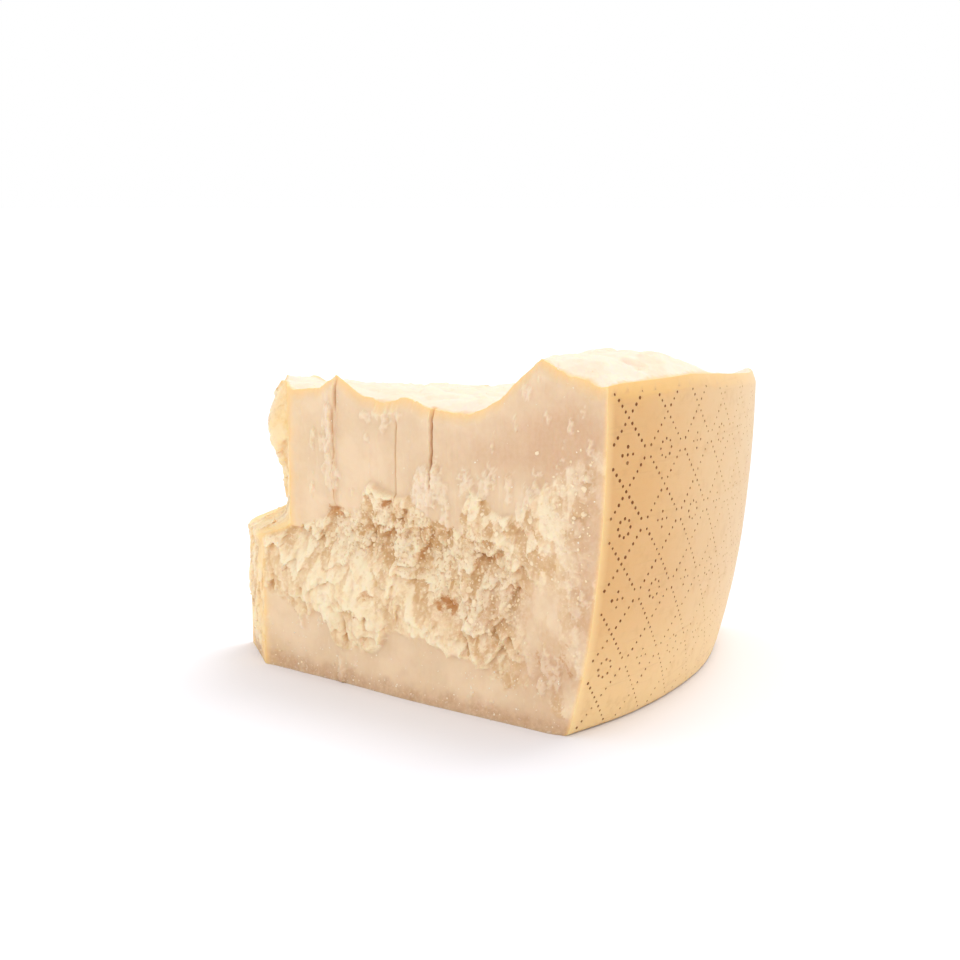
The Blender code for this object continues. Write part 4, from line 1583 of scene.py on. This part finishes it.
@dataclass
class Scatter:
    """Small ragged pieces scattered over the paste, as dense as one of the wedge's shares."""

    name: str
    share: str
    density: float
    smallest: float
    largest: float
    flatness: float
    ragged: float
    seed: int
    subdivisions: int = 2

    def placed(self, tree: Tree) -> bpy.types.NodeSocket:
        """Adds the nodes that lay the pieces on the surface, each with its own size and tilt.

        Args:
            tree: The tree to add them to.

        Returns:
            The socket with the pieces as instances.
        """
        density = tree.size("Density", self.density)
        smallest, largest = tree.size("Smallest", self.smallest), tree.size("Largest", self.largest)
        flatness = tree.size("Flatness", self.flatness)
        share = tree.node("GeometryNodeInputNamedAttribute", {"data_type": "FLOAT"}, {"Name": self.share})
        amount = tree.node("ShaderNodeMath", {"operation": "MULTIPLY"}, {0: share.outputs[0], 1: density})
        spread = {"Mesh": tree.start.outputs[0], "Density": amount.outputs[0], "Seed": self.seed}
        points = tree.node("GeometryNodeDistributePointsOnFaces", {}, spread)
        ball = tree.node("GeometryNodeMeshIcoSphere", {}, {"Radius": 1.0, "Subdivisions": self.subdivisions})
        sizes = {2: smallest, 3: largest, "Seed": self.seed + 1}
        size = tree.node("FunctionNodeRandomValue", {"data_type": "FLOAT"}, sizes).outputs[1]
        thin = tree.node("ShaderNodeMath", {"operation": "MULTIPLY"}, {0: size, 1: flatness})
        scale = tree.node("ShaderNodeCombineXYZ", {}, {0: size, 1: size, 2: thin.outputs[0]})
        turns = {0: (-0.5, -0.5, 0.0), 1: (0.5, 0.5, 2 * math.pi), "Seed": self.seed + 2}
        turn = tree.node("FunctionNodeRandomValue", {"data_type": "FLOAT_VECTOR"}, turns)
        angle = tree.node("FunctionNodeEulerToRotation", {}, {0: turn.outputs[0]})
        tilts = {0: points.outputs["Rotation"], 1: angle.outputs[0]}
        tilt = tree.node("FunctionNodeRotateRotation", {"rotation_space": "LOCAL"}, tilts)
        laid = {"Points": points.outputs[0], "Instance": ball.outputs[0], "Rotation": tilt.outputs[0]}
        return tree.node("GeometryNodeInstanceOnPoints", {}, laid | {"Scale": scale.outputs[0]}).outputs[0]

    def build(self, source: bpy.types.Mesh, material: bpy.types.Material) -> bpy.types.Object:
        """Makes the pieces.

        Args:
            source: A copy of the wedge's mesh.
            material: The pieces' finish.

        Returns:
            The pieces as one object.
        """
        tree = Tree(self.name)
        ragged = tree.size("Ragged", self.ragged)
        skin = tree.size("Material", None, "NodeSocketMaterial")
        real = tree.node("GeometryNodeRealizeInstances", {}, {"Geometry": self.placed(tree)})
        position = tree.node("GeometryNodeInputPosition", {}, {})
        swell = {"Vector": position.outputs[0], "Scale": 0.5 / self.largest, "Detail": 2.0}
        rough = tree.node("ShaderNodeTexNoise", {}, swell)
        middle = {0: rough.outputs["Color"], 1: (0.5, 0.5, 0.5)}
        centred = tree.node("ShaderNodeVectorMath", {"operation": "SUBTRACT"}, middle)
        shift = tree.node("ShaderNodeVectorMath", {"operation": "SCALE"}, {0: centred.outputs[0], "Scale": ragged})
        bent = tree.node("GeometryNodeSetPosition", {}, {"Geometry": real.outputs[0], "Offset": shift.outputs[0]})
        tree.close(bent.outputs[0], skin)
        values = {"Density": self.density, "Smallest": self.smallest, "Largest": self.largest}
        values |= {"Flatness": self.flatness, "Ragged": self.ragged, "Material": material}
        return tree.run(source, self.name, values)


# Crumbs and flakes that cling to the torn paste, and white crystals in the knife-cut stretches.
SCATTERS = (
    Scatter("flakes", "chips", 30000, 0.0005, 0.0013, 0.35, 0.0018, 5),
    Scatter("crumbs", "chips", 260000, 0.0002, 0.0006, 0.60, 0.0007, 8, 1),
    Scatter("crystals", "specks", 70000, 0.00012, 0.00045, 0.25, 0.0006, 11, 1),
)


@dataclass
class Studio:
    """A white floor, soft light from above and behind, and a camera at the photograph's angle."""

    wedge: CheeseWedge
    lens: float = 59.75
    sensor: float = 36.0
    camera_height: float = 0.1783
    camera_left: float = 0.04066
    camera_back: float = 0.50565
    pitch: float = math.radians(9.988)
    floor_size: float = 60.0
    surroundings: float = 1.0
    sun_strength: float = 0.9
    sun_angle: float = math.radians(28)
    sun_from: tuple = (0.32, 0.34, 1.00)

    def floor(self) -> bpy.types.Object:
        """A wide pale floor."""
        half = self.floor_size / 2
        mesh = bpy.data.meshes.new("floor")
        mesh.from_pydata([(-half, -half, 0), (half, -half, 0), (half, half, 0), (-half, half, 0)], [], [(0, 1, 2, 3)])
        graph = Graph("floor")
        mottle = graph.grain(graph.place(), 0.4, 2.0)
        graph.finish({"Base Color": graph.mix(mottle, (0.92, 0.92, 0.97), (0.93, 0.93, 0.98)), "Roughness": 0.8})
        mesh.materials.append(graph.material)
        floor = linked(bpy.data.objects.new("floor", mesh))
        return floor

    def light(self) -> None:
        """The lamps and the pale surroundings."""
        world = bpy.data.worlds.new("surroundings")
        world.use_nodes = True
        back = world.node_tree.nodes["Background"]
        back.inputs["Color"].default_value = (1.0, 1.0, 1.0, 1.0)
        back.inputs["Strength"].default_value = self.surroundings
        bpy.context.scene.world = world
        data = bpy.data.lights.new("window", "SUN")
        data.energy = self.sun_strength
        data.angle = self.sun_angle
        sun = linked(bpy.data.objects.new("window", data))
        sun.rotation_euler = (-Vector(self.sun_from)).to_track_quat("-Z", "Y").to_euler()

    def camera(self) -> bpy.types.Object:
        """The camera at the photograph's place and angle."""
        data = bpy.data.cameras.new("camera")
        data.sensor_width = self.sensor
        data.lens = self.lens
        camera = linked(bpy.data.objects.new("camera", data))
        camera.location = (self.wedge.corner_x - self.camera_left, self.wedge.corner_y - self.camera_back,
                           self.camera_height)
        camera.rotation_euler = (math.pi / 2 - self.pitch, 0, 0)
        bpy.context.scene.camera = camera
        return camera


def settle(piece: bpy.types.Object, stands_for: bool = False) -> None:
    """Tells the frame what a finished piece rides on, hides the imported part that it stands for, and logs its face
    count.
    """
    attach(piece, "root")
    if stands_for:
        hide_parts(NODE)
    LOG.info("%s: %d faces", piece.name, len(piece.data.polygons))


def main() -> None:
    """Builds the wedge, its pricks and crystals, and the studio."""
    logging.basicConfig(level=logging.INFO, format="%(message)s")
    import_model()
    wedge = CheeseWedge()
    turn = -wedge.cut_face_turn
    finishes = {Skin.PASTE: Paste(turn), Skin.RIND: RindFinish(turn), Skin.PRICK: PrickFinish()}
    materials = [finishes[skin].build() for skin in Skin]
    body = wedge.build(materials)
    ground = body.data.copy()
    pricks = PinPricks(wedge)
    pricks.press_into(body, materials[Skin.PRICK.value])
    settle(body, stands_for=True)
    crumb = CrumbFinish("crumb", (0.96, 0.79, 0.54), (0.88, 0.68, 0.43)).build()
    crystal = CrumbFinish("crystal", (0.93, 0.83, 0.68), (0.88, 0.72, 0.53), 0.4).build()
    for scatter in SCATTERS:
        settle(scatter.build(ground.copy(), crystal if scatter.share == "specks" else crumb))
    studio = Studio(wedge)
    studio.floor()
    studio.light()
    studio.camera()
    bpy.context.scene.view_settings.view_transform = "Standard"


if __name__ == "__main__":
    main()
